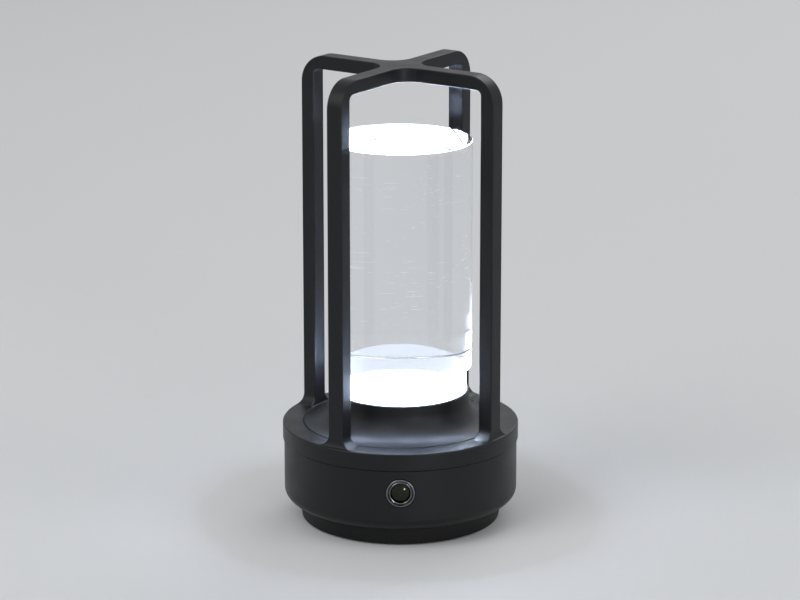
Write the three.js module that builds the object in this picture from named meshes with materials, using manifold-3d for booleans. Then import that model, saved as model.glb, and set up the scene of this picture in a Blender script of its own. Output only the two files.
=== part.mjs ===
// LED lantern: a lit acrylic column in a four-post cage, on a round rechargeable base.
// Millimetres, +Z up, origin at the middle of the face it stands on, the push button towards -Y.

import * as THREE from 'three';
import { mergeVertices } from 'three/addons/utils/BufferGeometryUtils.js';
import Module from 'manifold-3d';

const wasm = await Module();
wasm.setup();

// Shared fits
const seam = 0.3; // gap between two pieces that rest on each other
const solder = 0.05; // layer between a board and what is soldered to it
const cutOver = 1; // how far a cut runs past the face it opens
const sink = 1.5; // how deep a rib or boss starts inside the wall that carries it
const weldDistance = 1e-4;

// Outline
const overallHeight = 215.2;
const ringRadius = 55;
const ringHeight = 8;
const ringProud = 0.6; // the ring stands out past the drum
const ringEdge = 0.7;
const drumHeight = 29.6;
const drumCornerWide = 7.8;
const drumCornerHigh = 6.1;
const drumWall = 2.6;
const drumFloor = 2.4;

// Cage
const cageTurn = THREE.MathUtils.degToRad(-34.1);
const postWidth = 8;
const postDepth = 6.9;
const postSetback = 2.2; // from the ring's outside to the post's outside
const barThickness = 6.4;
const archOuterCorner = 13;
const archInnerCorner = 2.5;
const crossingFillet = 10;
const edgeRound = 0.5;
const flareHeight = 5;
const flareOut = 1.5;
const legSink = 4;
const ringLand = 9.6; // top face of the ring, from its outside in to the plate's pocket
const ledgeReach = 8.4; // how far the ledge under the plate runs in past the pocket
const lipDepth = 3; // the lip that centres the ring in the drum
const lipWall = 3.2;
const bossLength = 7.5;
const bossWall = 1.9;

// Top plate and column
const plateThickness = 3;
const plateGroove = 0.4;
const plateEdge = 0.3;
const neckHeight = 15.5;
const neckWall = 1.1;
const neckFillet = 11.5;
const socketWeb = 3.5; // floor under the column's socket
const handGap = 28.5; // from the column's top to the bars above it
const columnRadius = 33.1;
const columnStep = 2.5; // the column's foot is this much narrower
const footReveal = 11.1; // how much of the narrow foot shows above the neck
const columnEdge = 0.4;
const footWall = 4; // acrylic left round the dome's recess
const domeClearance = 0.6;
const domeWall = 1.8;
const domeRise = 25.4; // apex of the dome above its seat
const domeFlange = 1.5;
const gasketThickness = 1;
const gasketWidth = 3.1;

// LED board
const ledBoardThickness = 1.5;
const ledBoardMargin = 2; // from the board's edge to the dome's inside
const ledCount = 6;
const ledInset = 11.1; // from the board's edge in to the chips' circle
const ledChipLength = 3.5;
const ledChipWidth = 2.8;
const ledChipHeight = 0.7;
const ledScrewInset = 5.1; // from the board's edge in to its screws
const leadHoleInset = 6.1;
const leadHoleAngle = THREE.MathUtils.degToRad(120);

// Foot
const footHeight = 8.3;
const footInset = 6.9; // from the drum's outside in to the foot's top edge
const footTaper = 1.2;
const footEdge = 0.8;
const footWallThickness = 2.8;
const footFloor = 2.2;
const padProud = 0.6;
const padThickness = 1.6;
const padWidth = 6.2;
const padInset = 2.2; // from the foot's bottom edge in to the pad
const ballastThickness = 4.5;
const ballastMargin = 2.2; // from the ballast's edge to the case screws' heads

// Screws: shank radius, head radius, head height
const caseScrew = { shank: 1.5, head: 2.7, headHeight: 1.8 };
const boardScrew = { shank: 1.2, head: 2.1, headHeight: 1.4 };
const screwClearance = 0.3;
const screwInset = 14; // from the ring's outside in to the screws' circle
const screwBite = 9; // how deep a case screw runs into its boss
const screwEnd = 0.6; // free depth below a screw's tip
const footScrewTurn = THREE.MathUtils.degToRad(-17);
const footBossHeight = 4.8;
const footBossWall = 1.9;

// Battery tray and cells
const trayFloor = 1.5;
const trayWall = 1.6;
const trayMargin = 2.1; // from the tray's edge to the flat of the drum's floor
const cellRadius = 9.2;
const cellEndRoom = 12; // from a cell's end to the tray's edge
const cellGap = 0.6;
const cellTipRadius = 3;
const cellTip = 1;
const stripThickness = 0.3;
const stripReach = 4; // how far a strip runs past the cells' middles
const stripDown = 4;
const stripUp = 5.2;
const trayRibHeight = 7;
const trayRibShare = 0.72; // of the cell's length
const trayEndShare = 0.8; // of the cells' width

// Main board, its parts and the charging inlet
const boardThickness = 1.6;
const boardSideRoom = 5; // from the board's side edge to the case screw beside it
const boardStandoff = 2.2;
const boardRearGap = 4.3; // from the board's rear edge to the drum's inside
const boardFrontGap = 1.6; // from the board's front edge to the tray's rib
const boardScrewInset = 3.6; // from the board's side edge in to its screw
const boardScrewBack = 6; // from the tray's edge in to the board's screws
const boardPostInset = 3.6; // from the board's front edge in to the plain posts
const boardPostSpread = 9;
const standoffRadius = 2.8;
const postRadius = 2;
const usbWidth = 8.94;
const usbHeight = 3.26;
const usbLength = 7.35;
const usbSkin = 0.3;
const usbDepth = 5.5;
const usbRecess = 1.3; // from the drum's outside to the inlet's mouth
const usbTongueWidth = 6.7;
const usbTongueThickness = 0.7;
const usbTongueLength = 4.5;
const usbDishWidth = 12.6;
const usbDishHeight = 6.6;
const usbDishDepth = 1;
const connectorWidth = 5;
const connectorDepth = 4;
const connectorHeight = 5.6;
const connectorEdge = 3; // from the board's side edge in to the outer connectors
const connectorInset = 2.6; // from the board's front edge in to the connectors' middle
const chipSide = 5;
const chipHeight = 1.1;
const coilRadius = 3;
const coilHeight = 3.4;
const partGap = 1; // between the chip and the coil
const partInset = 3.5; // from the inlet's inner end to the middle of both

// Push button
const buttonDrop = 10.25; // from the drum's top edge to the button's middle
const buttonTravel = 0.8;
const bezelRadius = 6.6;
const bezelLip = 1.1;
const bezelProud = 0.5; // lip's front past the drum's surface
const bezelCrest = 0.3; // flat top of the outer rim
const bezelRound = 0.4;
const bezelInnerDrop = 0.2; // the inner rim stands this much lower than the outer one
const bezelDish = 0.45; // depth of the channel between the rims
const bezelLength = 9;
const barrelRadius = 5.9;
const barrelWall = 0.8;
const capRadius = 4.35;
const capFit = 0.25;
const capProud = 0.55;
const capDome = 1.15;
const capStep = 0.5;
const capFlange = 1;
const stemRadius = 1.6;
const stemFit = 0.4;
const seatThickness = 1.2;
const seatInset = 0.6;
const springWire = 0.3;
const springFit = 0.9;
const springTurns = 5;
const nutAcross = 14;
const nutThickness = 3;
const landRadius = 8.4;
const landDepth = 1.4;
const bezelSpot = 0.4;
const tactSide = 6;
const tactDepth = 3.5;
const plungerRadius = 1.7;
const plungerLength = 1;
const pressSlack = 0.1;
const switchBoardWidth = 14;
const switchBoardUp = 7.2;
const switchBoardDown = 7;
const switchScrewSpread = 4.9;
const switchScrewUp = 4.9;
const switchScrewBite = 1;
const gussetLength = 7;
const gussetHeight = 12;

// Leads
const leadRadius = 1;
const leadSteps = 22;
const leadSides = 6;

// Facets
const bigSides = 56;
const midSides = 36;
const smallSides = 16;
const screwSides = 10;
const cornerSteps = 4;
const domeSteps = 6;
const capSteps = 4;
const bevelSteps = 2;
const springSides = 5;
const springSteps = 50;

// Levels and radii that follow from the sizes above
const footTop = footHeight;
const footFloorTop = padProud + footFloor;
const drumBottom = footTop + seam;
const drumTop = drumBottom + drumHeight;
const drumFloorTop = drumBottom + drumFloor;
const ringBottom = drumTop + seam;
const ringTop = ringBottom + ringHeight;
const plateBottom = ringTop - plateThickness;
const ledgeTop = plateBottom - seam;
const neckTop = ringTop + neckHeight;
const socketFloor = plateBottom + socketWeb;
const barBottom = overallHeight - barThickness;
const columnTop = barBottom - handGap;
const stepLevel = neckTop + footReveal;

const drumRadius = ringRadius - ringProud;
const drumInside = drumRadius - drumWall;
const drumFlat = drumRadius - drumCornerWide;
const pocketRadius = ringRadius - ringLand;
const plateRadius = pocketRadius - plateGroove;
const ledgeRadius = pocketRadius - ledgeReach;
const postOuter = ringRadius - postSetback;
const postInner = postOuter - postDepth;
const screwCircle = ringRadius - screwInset;
const bossBottom = ringBottom - bossLength;
const caseHole = caseScrew.shank + screwClearance;
const bossRadius = caseHole + bossWall;
const footBossRadius = caseHole + footBossWall;
const headRoom = caseScrew.head + screwClearance;
const boardHole = boardScrew.shank + screwClearance;
const boardBite = boardScrew.shank + screwClearance / 2;

const spigotRadius = columnRadius - columnStep;
const socketRadius = spigotRadius + seam;
const neckRadius = socketRadius + neckWall;
const domeRadius = spigotRadius - footWall - domeClearance;
const domeSeat = socketFloor + seam;
const domeCentre = domeSeat + domeRise - domeRadius;
const flangeTop = domeSeat + domeFlange;
const flangeRadius = socketRadius - 2 * seam;
const gasketBottom = flangeTop + seam;
const columnBottom = gasketBottom + gasketThickness + seam;
const domeInner = domeRadius - domeWall;
const domeSeatInner = Math.sqrt(domeInner ** 2 - (domeSeat - domeCentre) ** 2);
const ledBoardRadius = domeSeatInner - ledBoardMargin;
const ledBoardTop = domeSeat + ledBoardThickness;
const ledCircle = ledBoardRadius - ledInset;
const ledScrewCircle = ledBoardRadius - ledScrewInset;
const leadHoleCircle = ledBoardRadius - leadHoleInset;

const footTopRadius = drumRadius - footInset;
const footBottomRadius = footTopRadius - footTaper;
const footInside = footTopRadius - footWallThickness;
const padOuter = footBottomRadius - padInset;
const padInner = padOuter - padWidth;
const grooveTop = padThickness + seam;
const ballastRadius = screwCircle - caseScrew.head - ballastMargin;

const trayBottom = drumFloorTop + seam;
const trayTop = trayBottom + trayFloor;
const trayRadius = drumFlat - trayMargin;
const cellLength = 2 * (trayRadius - cellEndRoom);
const cellPitch = cellRadius + cellGap / 2;
const cellLevel = trayTop + seam + cellRadius;
const cellsHalfWidth = cellPitch + cellRadius;
const stripInner = cellLength / 2 + seam;
const stripOuter = stripInner + stripThickness;
const trayEndInner = stripOuter + seam;
const trayRibInner = cellsHalfWidth + seam;
const trayRibOuter = trayRibInner + trayWall;

const boardWidth = 2 * (screwCircle * Math.sin(-cageTurn) - boardSideRoom);
const boardScrewRow = trayRadius - boardScrewBack;
const boardFront = trayRibOuter + boardFrontGap;
const boardRear = drumInside - boardRearGap;
const boardBottom = trayTop + boardStandoff + seam;
const boardTop = boardBottom + boardThickness;
const partLevel = boardTop + solder;
const usbLevel = partLevel + usbHeight / 2;
const usbMouth = drumRadius - usbRecess;
const partRow = usbMouth - usbLength - partInset;
const connectorPitch = (boardWidth - connectorWidth) / 2 - connectorEdge;
const connectorRow = boardFront + connectorInset;
const connectorTop = partLevel + connectorHeight;

const buttonLevel = drumTop - buttonDrop;
const barrelInner = barrelRadius - barrelWall;
const bezelBore = capRadius + capFit;
const bezelBack = bezelLip - bezelProud;
const spotDepth = bezelBack + seam;
const boreStep = bezelBack + capStep + seam;
const capFlangeFront = boreStep + seam;
const capFlangeBack = capFlangeFront + capFlange;
const capFlangeRadius = barrelInner - capFit;
const seatBack = bezelLength - seatInset;
const seatFront = seatBack - seatThickness;
const stemHole = stemRadius + stemFit;
const landLevel = drumWall + landDepth;
const nutFront = landLevel + seam;
const stemEnd = bezelLength + seam;
const plungerTip = stemEnd + buttonTravel + pressSlack;
const tactFront = plungerTip + plungerLength;
const switchBoardFront = tactFront + tactDepth + solder;
const switchBoardBack = switchBoardFront + boardThickness;
const upstandFront = switchBoardBack + seam;
const upstandBack = upstandFront + trayWall;

// Screws: where each one's head sits and where its tip ends
const plateScrewSeat = ringBottom - seam;
const plateTip = plateBottom + plateThickness / 2;
const plateHoleTop = plateTip + screwEnd / 2;
const caseScrewSeat = drumBottom - seam;
const caseScrewTip = bossBottom + screwBite;
const footScrewSeat = grooveTop + seam + caseScrew.headHeight;
const footBossTop = drumFloorTop + footBossHeight;
const footScrewTip = drumFloorTop + footBossHeight / 2;
const ledScrewSeat = ledBoardTop + seam;
const ledScrewTip = plateBottom + 2 * screwEnd;
const trayScrewSeat = trayTop + seam;
const trayScrewTip = drumBottom + seam;
const standoffTop = trayTop + boardStandoff;
const boardScrewSeat = boardTop + seam;
const boardScrewTip = trayTop + screwEnd;

// Solids: every helper takes and gives plain geometry

// Welds a geometry's shared corners and drops the slivers that its poles leave
function toSolid(geometry) {
  const bare = geometry.clone();
  bare.deleteAttribute('normal');
  bare.deleteAttribute('uv');
  const welded = mergeVertices(bare, weldDistance);
  const corners = welded.index.array;
  const triangles = [];
  for (let i = 0; i < corners.length; i += 3) {
    const [a, b, c] = corners.slice(i, i + 3);
    if (a !== b && b !== c && c !== a) triangles.push(a, b, c);
  }
  const vertProperties = new Float32Array(welded.attributes.position.array);
  const triVerts = new Uint32Array(triangles);
  return new wasm.Manifold(new wasm.Mesh({ numProp: 3, vertProperties, triVerts }));
}

function toGeometry(solid) {
  const { vertProperties, triVerts } = solid.getMesh();
  const geometry = new THREE.BufferGeometry();
  geometry.setAttribute('position', new THREE.BufferAttribute(vertProperties, 3));
  geometry.setIndex(new THREE.BufferAttribute(triVerts, 1));
  return geometry;
}

function join(first, ...others) {
  return toGeometry(others.reduce((whole, other) => whole.add(toSolid(other)), toSolid(first)));
}

function cut(first, ...tools) {
  return toGeometry(tools.reduce((whole, tool) => whole.subtract(toSolid(tool)), toSolid(first)));
}

function common(first, second) {
  return toGeometry(toSolid(first).intersect(toSolid(second)));
}

// An arc's points from one angle to another, round (r, z), with its own half width and half height
function arc(r, z, wide, high, from, to, steps) {
  return Array.from({ length: steps + 1 }, (_, i) => {
    const angle = from + ((to - from) * i) / steps;
    return [r + wide * Math.cos(angle), z + high * Math.sin(angle)];
  });
}

// Turns an outline of [radius, height] points round the Z axis
function turned(outline, sides) {
  const points = outline.map(([radius, height]) => new THREE.Vector2(radius, height));
  return new THREE.LatheGeometry(points, sides).rotateX(Math.PI / 2);
}

function closedRing(inner, outer, bottom, top, sides) {
  return turned([[inner, bottom], [outer, bottom], [outer, top], [inner, top], [inner, bottom]], sides);
}

function disc(radius, bottom, top, sides) {
  return turned([[0, bottom], [radius, bottom], [radius, top], [0, top]], sides);
}

function block(left, right, front, back, bottom, top) {
  const geometry = new THREE.BoxGeometry(right - left, back - front, top - bottom);
  return geometry.translate((left + right) / 2, (front + back) / 2, (bottom + top) / 2);
}

// Moves a geometry out to a radius and round the Z axis
function around(geometry, radius, angle) {
  return geometry.translate(radius * Math.cos(angle), radius * Math.sin(angle), 0);
}

function quarterTurns(start) {
  return [0, 1, 2, 3].map((i) => start + (i * Math.PI) / 2);
}

const halfTurns = [0, Math.PI];
const bothSides = [-1, 1];
const caseScrewTurns = quarterTurns(cageTurn);
const footScrewTurns = quarterTurns(cageTurn + footScrewTurn);
const plateScrewTurns = quarterTurns(cageTurn + Math.PI / 4);

// The same round bar at each of several turns round the Z axis
function bars(turns, circle, radius, bottom, top, sides = screwSides) {
  return turns.map((turn) => around(disc(radius, bottom, top, sides), circle, turn));
}

// A flat outline in X and Y, drawn out along Z from one level to another
function drawnOut(shape, bottom, top, steps = cornerSteps) {
  const options = { depth: top - bottom, bevelEnabled: false, curveSegments: steps };
  return new THREE.ExtrudeGeometry(shape, options).translate(0, 0, bottom);
}

// The same with its edges rounded
function drawnOutRound(shape, bottom, top) {
  const options = {
    depth: top - bottom - 2 * edgeRound,
    bevelEnabled: true,
    bevelThickness: edgeRound,
    bevelSize: edgeRound,
    bevelOffset: -edgeRound,
    bevelSegments: bevelSteps,
    curveSegments: cornerSteps,
  };
  return new THREE.ExtrudeGeometry(shape, options).translate(0, 0, bottom + edgeRound);
}

function outlineShape(points) {
  return new THREE.Shape(points.map(([x, y]) => new THREE.Vector2(x, y)));
}

// A slot outline with round ends, its length along X
function slotShape(width, height) {
  const end = height / 2;
  const middle = width / 2 - end;
  return outlineShape([
    ...arc(middle, 0, end, end, -Math.PI / 2, Math.PI / 2, cornerSteps),
    ...arc(-middle, 0, end, end, Math.PI / 2, (3 * Math.PI) / 2, cornerSteps),
  ]);
}

// Stands a geometry's X and Y up into X and Z, so that what ran along Z runs along -Y
function upright(geometry) {
  return geometry.rotateX(Math.PI / 2);
}

// Lays a piece that is turned round Z into the drum's front, its Z running inwards
function intoFront(geometry) {
  return geometry.rotateX(-Math.PI / 2).translate(0, -drumRadius, buttonLevel);
}

function finish(color, roughness, metalness) {
  return new THREE.MeshStandardMaterial({ color, roughness, metalness });
}

const satinBlack = () => finish(0x17181a, 0.5, 0.3);
const blackPlastic = () => finish(0x131314, 0.6, 0);
const steel = () => finish(0xa8aaad, 0.35, 1);
const chrome = () => finish(0xd8dadc, 0.08, 1);
const circuitBoard = () => finish(0x155235, 0.5, 0);
const whitePlastic = () => finish(0xe9e7df, 0.5, 0);

// A screw along Z: its head sits on level `seat` and its shank runs from there to `tip`
function screw(size, seat, tip) {
  const way = Math.sign(seat - tip);
  const headEnd = seat + way * size.headHeight;
  const outline = [[0, tip], [size.shank, tip], [size.shank, seat], [size.head, seat], [size.head, headEnd],
    [0, headEnd]];
  return turned(way > 0 ? outline : outline.reverse(), screwSides);
}

// Cage: ring, two crossed arches and the lips and bosses under the ring

function ringBody() {
  const lipOuter = drumInside - seam;
  const lipInner = lipOuter - lipWall;
  const lipBottom = Math.max(ringBottom - lipDepth, buttonLevel + landRadius + seam);
  const edge = ringRadius - ringEdge;
  return turned([
    [ledgeRadius, ringBottom],
    [lipInner, ringBottom],
    [lipInner, lipBottom],
    [lipOuter, lipBottom],
    [lipOuter, ringBottom],
    [ringRadius, ringBottom],
    ...arc(edge, ringTop - ringEdge, ringEdge, ringEdge, 0, Math.PI / 2, bevelSteps),
    [pocketRadius + plateEdge, ringTop],
    [pocketRadius, ringTop - plateEdge],
    [pocketRadius, ledgeTop],
    [ledgeRadius, ledgeTop],
    [ledgeRadius, ringBottom],
  ], bigSides);
}

// One arch in the XZ plane: two posts and the bar that joins them
function arch() {
  const legEnd = ringTop - legSink;
  const outerTurn = overallHeight - archOuterCorner;
  const innerTurn = barBottom - archInnerCorner;
  const outerMiddle = postOuter - archOuterCorner;
  const innerMiddle = postInner - archInnerCorner;
  const quarter = Math.PI / 2;
  const shape = outlineShape([
    [postInner, legEnd],
    [postOuter, legEnd],
    ...arc(outerMiddle, outerTurn, archOuterCorner, archOuterCorner, 0, quarter, cornerSteps),
    ...arc(-outerMiddle, outerTurn, archOuterCorner, archOuterCorner, quarter, Math.PI, cornerSteps),
    [-postOuter, legEnd],
    [-postInner, legEnd],
    ...arc(-innerMiddle, innerTurn, archInnerCorner, archInnerCorner, Math.PI, quarter, cornerSteps),
    ...arc(innerMiddle, innerTurn, archInnerCorner, archInnerCorner, quarter, 0, cornerSteps),
  ]);
  return upright(drawnOutRound(shape, -postWidth / 2, postWidth / 2));
}

// The filleted middle of the X where the two bars cross
function crossing() {
  const side = postWidth / 2;
  const reach = side + crossingFillet;
  const fillet = arc(reach, reach, crossingFillet, crossingFillet, -Math.PI / 2, -Math.PI, cornerSteps);
  const corners = quarterTurns(0).flatMap((turn) => {
    const [cosine, sine] = [Math.cos(turn), Math.sin(turn)];
    return fillet.map(([x, y]) => [x * cosine - y * sine, x * sine + y * cosine]);
  });
  return drawnOutRound(outlineShape(corners), barBottom, overallHeight);
}

// A post's flared foot along +X: what its front view and its side view have in common
function flare() {
  const bottom = ringTop - legSink;
  const top = ringTop + flareHeight;
  const side = postWidth / 2;
  const quarter = Math.PI / 2;
  const frontView = outlineShape([
    [-side - flareHeight, bottom],
    [side + flareHeight, bottom],
    ...arc(side + flareHeight, top, flareHeight, flareHeight, -quarter, -Math.PI, cornerSteps),
    ...arc(-side - flareHeight, top, flareHeight, flareHeight, 0, -quarter, cornerSteps),
  ]);
  const sideView = outlineShape([
    [postInner, bottom],
    [postOuter + flareOut, bottom],
    ...arc(postOuter + flareOut, top, flareOut, flareHeight, -quarter, -Math.PI, cornerSteps),
    [postInner, top],
  ]);
  const across = upright(drawnOut(frontView, -ringRadius, 0)).rotateZ(-Math.PI / 2);
  const along = upright(drawnOut(sideView, -ringRadius, ringRadius));
  return common(common(across, along), disc(ringRadius - ringEdge, bottom, top, bigSides));
}

function cageFrame() {
  const turns = quarterTurns(0);
  const ring = ringBody().rotateZ(-cageTurn);
  const arches = [arch(), arch().rotateZ(Math.PI / 2)];
  const flares = turns.map((turn) => flare().rotateZ(turn));
  const bosses = bars(turns, screwCircle, bossRadius, bossBottom, ringBottom + sink, smallSides);
  const caseHoles = bars(turns, screwCircle, caseHole, bossBottom - cutOver, caseScrewTip + screwEnd);
  const plateHoles = bars(quarterTurns(Math.PI / 4), screwCircle, caseHole, ringBottom - cutOver,
    ledgeTop + cutOver);
  return cut(join(ring, ...arches, crossing(), ...flares, ...bosses), ...caseHoles, ...plateHoles);
}

// Top plate with the neck that holds the column

function topPlate() {
  const fillet = Math.min(neckFillet, plateRadius - plateEdge - neckRadius);
  const body = turned([
    [0, plateBottom],
    [plateRadius, plateBottom],
    [plateRadius, ringTop - plateEdge],
    [plateRadius - plateEdge, ringTop],
    ...arc(neckRadius + fillet, ringTop + fillet, fillet, fillet, -Math.PI / 2, -Math.PI, cornerSteps),
    [neckRadius, neckTop - plateEdge],
    [neckRadius - plateEdge, neckTop],
    [socketRadius, neckTop],
    [socketRadius, socketFloor],
    [0, socketFloor],
  ], bigSides);
  const plateHoles = bars(plateScrewTurns, screwCircle, caseHole, plateBottom - cutOver, plateHoleTop);
  const ledHoles = bars(halfTurns, ledScrewCircle, boardHole, ledScrewTip - screwEnd, socketFloor + cutOver);
  const leadHoles = bars([leadHoleAngle], leadHoleCircle, leadRadius + 2 * seam, plateBottom - cutOver,
    socketFloor + cutOver);
  return cut(body, ...plateHoles, ...ledHoles, ...leadHoles);
}

// Column, dome and gasket

function lightColumn() {
  const cavity = domeRadius + domeClearance;
  const cavityStart = Math.asin((columnBottom - domeCentre) / cavity);
  return turned([
    ...arc(0, domeCentre, cavity, cavity, Math.PI / 2, cavityStart, domeSteps),
    [spigotRadius, columnBottom],
    [spigotRadius, stepLevel],
    [columnRadius, stepLevel],
    [columnRadius, columnTop - columnEdge],
    [columnRadius - columnEdge, columnTop],
    [0, columnTop],
  ], midSides);
}

function diffuserDome() {
  const outerStart = Math.asin((flangeTop - domeCentre) / domeRadius);
  const innerEnd = Math.asin((domeSeat - domeCentre) / domeInner);
  return turned([
    ...arc(0, domeCentre, domeInner, domeInner, Math.PI / 2, innerEnd, domeSteps),
    [flangeRadius, domeSeat],
    [flangeRadius, flangeTop],
    ...arc(0, domeCentre, domeRadius, domeRadius, outerStart, Math.PI / 2, domeSteps),
  ], midSides);
}

function columnGasket() {
  const top = gasketBottom + gasketThickness;
  return closedRing(flangeRadius - gasketWidth, flangeRadius, gasketBottom, top, midSides);
}

// LED board, its chips and its screws

function ledBoard() {
  const holes = bars(halfTurns, ledScrewCircle, boardHole, domeSeat - cutOver, ledBoardTop + cutOver);
  return cut(disc(ledBoardRadius, domeSeat, ledBoardTop, midSides), ...holes);
}

function ledChip() {
  const bottom = ledBoardTop + solder;
  return block(-ledChipWidth / 2, ledChipWidth / 2, -ledChipLength / 2, ledChipLength / 2, bottom,
    bottom + ledChipHeight);
}

// Drum

function drumShell() {
  const cornerLevel = drumBottom + drumCornerHigh;
  const innerWide = drumCornerWide - drumWall;
  const innerHigh = drumCornerHigh - drumFloor;
  const quarter = Math.PI / 2;
  const shell = turned([
    [ledgeRadius, drumBottom],
    ...arc(drumFlat, cornerLevel, drumCornerWide, drumCornerHigh, -quarter, 0, cornerSteps + 1),
    [drumRadius, drumTop],
    [drumInside, drumTop],
    ...arc(drumFlat, cornerLevel, innerWide, innerHigh, 0, -quarter, cornerSteps),
    [ledgeRadius, drumFloorTop],
    [ledgeRadius, drumBottom],
  ], bigSides);
  const land = intoFront(disc(landRadius, drumWall / 2, landLevel, smallSides));
  const under = drumBottom - cutOver;
  const over = drumFloorTop + cutOver;
  const root = drumFloorTop - sink;
  const bosses = bars(footScrewTurns, screwCircle, footBossRadius, root, footBossTop, smallSides);
  const caseHoles = bars(caseScrewTurns, screwCircle, caseHole, under, over);
  const footHoles = bars(footScrewTurns, screwCircle, caseHole, under, footScrewTip + screwEnd);
  const trayHoles = bars(halfTurns, screwCircle, boardHole, under, over);
  const buttonHole = intoFront(disc(barrelRadius + seam, -cutOver, landLevel + cutOver, smallSides));
  const buttonSpot = intoFront(disc(bezelRadius + bezelSpot, -cutOver, spotDepth, smallSides));
  const inletHole = inletCut(usbWidth + 2 * seam, usbHeight + 2 * seam, drumInside - landDepth);
  const inletDish = inletCut(usbDishWidth, usbDishHeight, drumRadius - usbDishDepth);
  const holes = [...caseHoles, ...footHoles, ...trayHoles, buttonHole, buttonSpot, inletHole, inletDish];
  return cut(join(shell, land, ...bosses), ...holes);
}

// A slot through the drum's back from the radius `from` outwards
function inletCut(width, height, from) {
  const slot = upright(drawnOut(slotShape(width, height), -drumRadius - cutOver, -from));
  return slot.translate(0, 0, usbLevel);
}

// Foot, pad and ballast

function footCover() {
  const edgeLevel = padProud + footEdge;
  const body = turned([
    [0, padProud],
    ...arc(footBottomRadius - footEdge, edgeLevel, footEdge, footEdge, -Math.PI / 2, 0, bevelSteps),
    [footTopRadius, footTop],
    [footInside, footTop],
    [footInside, footFloorTop],
    [0, footFloorTop],
  ], bigSides);
  const bosses = bars(footScrewTurns, screwCircle, footBossRadius, footFloorTop - seam, footTop, smallSides);
  const holes = bars(footScrewTurns, screwCircle, caseHole, -cutOver, footTop + cutOver);
  const headRooms = bars(footScrewTurns, screwCircle, headRoom, -cutOver, footScrewSeat + seam);
  const groove = closedRing(padInner - seam, padOuter + seam, -cutOver, grooveTop, bigSides);
  return cut(join(body, ...bosses), groove, ...holes, ...headRooms);
}

function footPad() {
  return closedRing(padInner, padOuter, 0, padThickness, bigSides);
}

function ballastPlate() {
  const bottom = footFloorTop + seam;
  return disc(ballastRadius, bottom, bottom + ballastThickness, midSides);
}

// Battery tray, cells and the strips that join them

function batteryTray() {
  const base = disc(trayRadius, trayBottom, trayTop, midSides);
  const ribHalf = (cellLength * trayRibShare) / 2;
  const endHalf = cellsHalfWidth * trayEndShare;
  const root = trayTop - trayFloor / 2;
  const ribs = [
    block(-ribHalf, ribHalf, trayRibInner, trayRibOuter, root, trayTop + trayRibHeight),
    block(-ribHalf, ribHalf, -trayRibOuter, -trayRibInner, root, trayTop + trayRibHeight),
    block(trayEndInner, trayEndInner + trayWall, -endHalf, endHalf, root, cellLevel),
    block(-trayEndInner - trayWall, -trayEndInner, -endHalf, endHalf, root, cellLevel),
  ];
  const posts = bothSides.flatMap((side) => [
    atBoardScrew(disc(standoffRadius, root, standoffTop, screwSides), side),
    disc(postRadius, root, standoffTop, screwSides)
      .translate(side * boardPostSpread, boardFront + boardPostInset, 0),
  ]);
  const under = trayBottom - cutOver;
  const over = trayTop + cutOver;
  const boardHoles = bothSides.map((side) =>
    atBoardScrew(disc(boardBite, trayTop, standoffTop + cutOver, screwSides), side));
  const holes = [
    ...bars(footScrewTurns, screwCircle, footBossRadius + seam, under, over, smallSides),
    ...bars(caseScrewTurns, screwCircle, caseHole, under, over),
    ...bars(halfTurns, screwCircle, boardHole, under, over),
    ...boardHoles,
  ];
  return cut(join(base, ...ribs, ...posts, switchUpstand(root)), ...holes);
}

// Moves a geometry to one of the main board's two screws
function atBoardScrew(geometry, side) {
  return geometry.translate(side * (boardWidth / 2 - boardScrewInset), boardScrewRow, 0);
}

// The wall of the tray that carries the switch board, with a gusset behind each side
function switchUpstand(root) {
  const half = switchBoardWidth / 2;
  const front = upstandFront - drumRadius;
  const back = upstandBack - drumRadius;
  const wall = block(-half, half, front, back, root, buttonLevel + switchBoardUp);
  const gussetShape = outlineShape([[0, 0], [gussetLength, 0], [0, gussetHeight]]);
  const gussets = [-half, half - trayWall].map((left) =>
    upright(drawnOut(gussetShape, 0, trayWall)).rotateZ(Math.PI / 2).translate(left, back - seam, root));
  const holes = bothSides.map((side) => {
    const hole = disc(boardBite, upstandFront - cutOver, upstandFront + switchScrewBite, screwSides);
    return intoFront(hole).translate(side * switchScrewSpread, 0, switchScrewUp);
  });
  return cut(join(wall, ...gussets), ...holes);
}

function batteryCell() {
  const half = cellLength / 2;
  return turned([
    [0, -half],
    [cellRadius, -half],
    [cellRadius, half - cellTip],
    [cellTipRadius, half - cellTip],
    [cellTipRadius, half],
    [0, half],
  ], smallSides).rotateY(Math.PI / 2);
}

function cellStrip() {
  const reach = cellPitch + stripReach;
  return block(stripInner, stripOuter, -reach, reach, cellLevel - stripDown, cellLevel + stripUp);
}

// Main board and what is soldered to it

function mainBoard() {
  const half = boardWidth / 2;
  const holes = bothSides.map((side) =>
    atBoardScrew(disc(boardHole, boardBottom - cutOver, boardTop + cutOver, screwSides), side));
  return cut(block(-half, half, boardFront, boardRear, boardBottom, boardTop), ...holes);
}

function usbSocket() {
  const slot = (width, height, from, to) => upright(drawnOut(slotShape(width, height), -to, -from));
  const back = usbMouth - usbLength;
  const floor = usbMouth - usbDepth;
  const inside = slot(usbWidth - 2 * usbSkin, usbHeight - 2 * usbSkin, floor, usbMouth + cutOver);
  const tongue = block(-usbTongueWidth / 2, usbTongueWidth / 2, floor - usbSkin, floor + usbTongueLength,
    -usbTongueThickness / 2, usbTongueThickness / 2);
  return join(cut(slot(usbWidth, usbHeight, back, usbMouth), inside), tongue).translate(0, 0, usbLevel);
}

function leadConnector() {
  return block(-connectorWidth / 2, connectorWidth / 2, connectorRow - connectorDepth / 2,
    connectorRow + connectorDepth / 2, partLevel, connectorTop);
}

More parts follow.
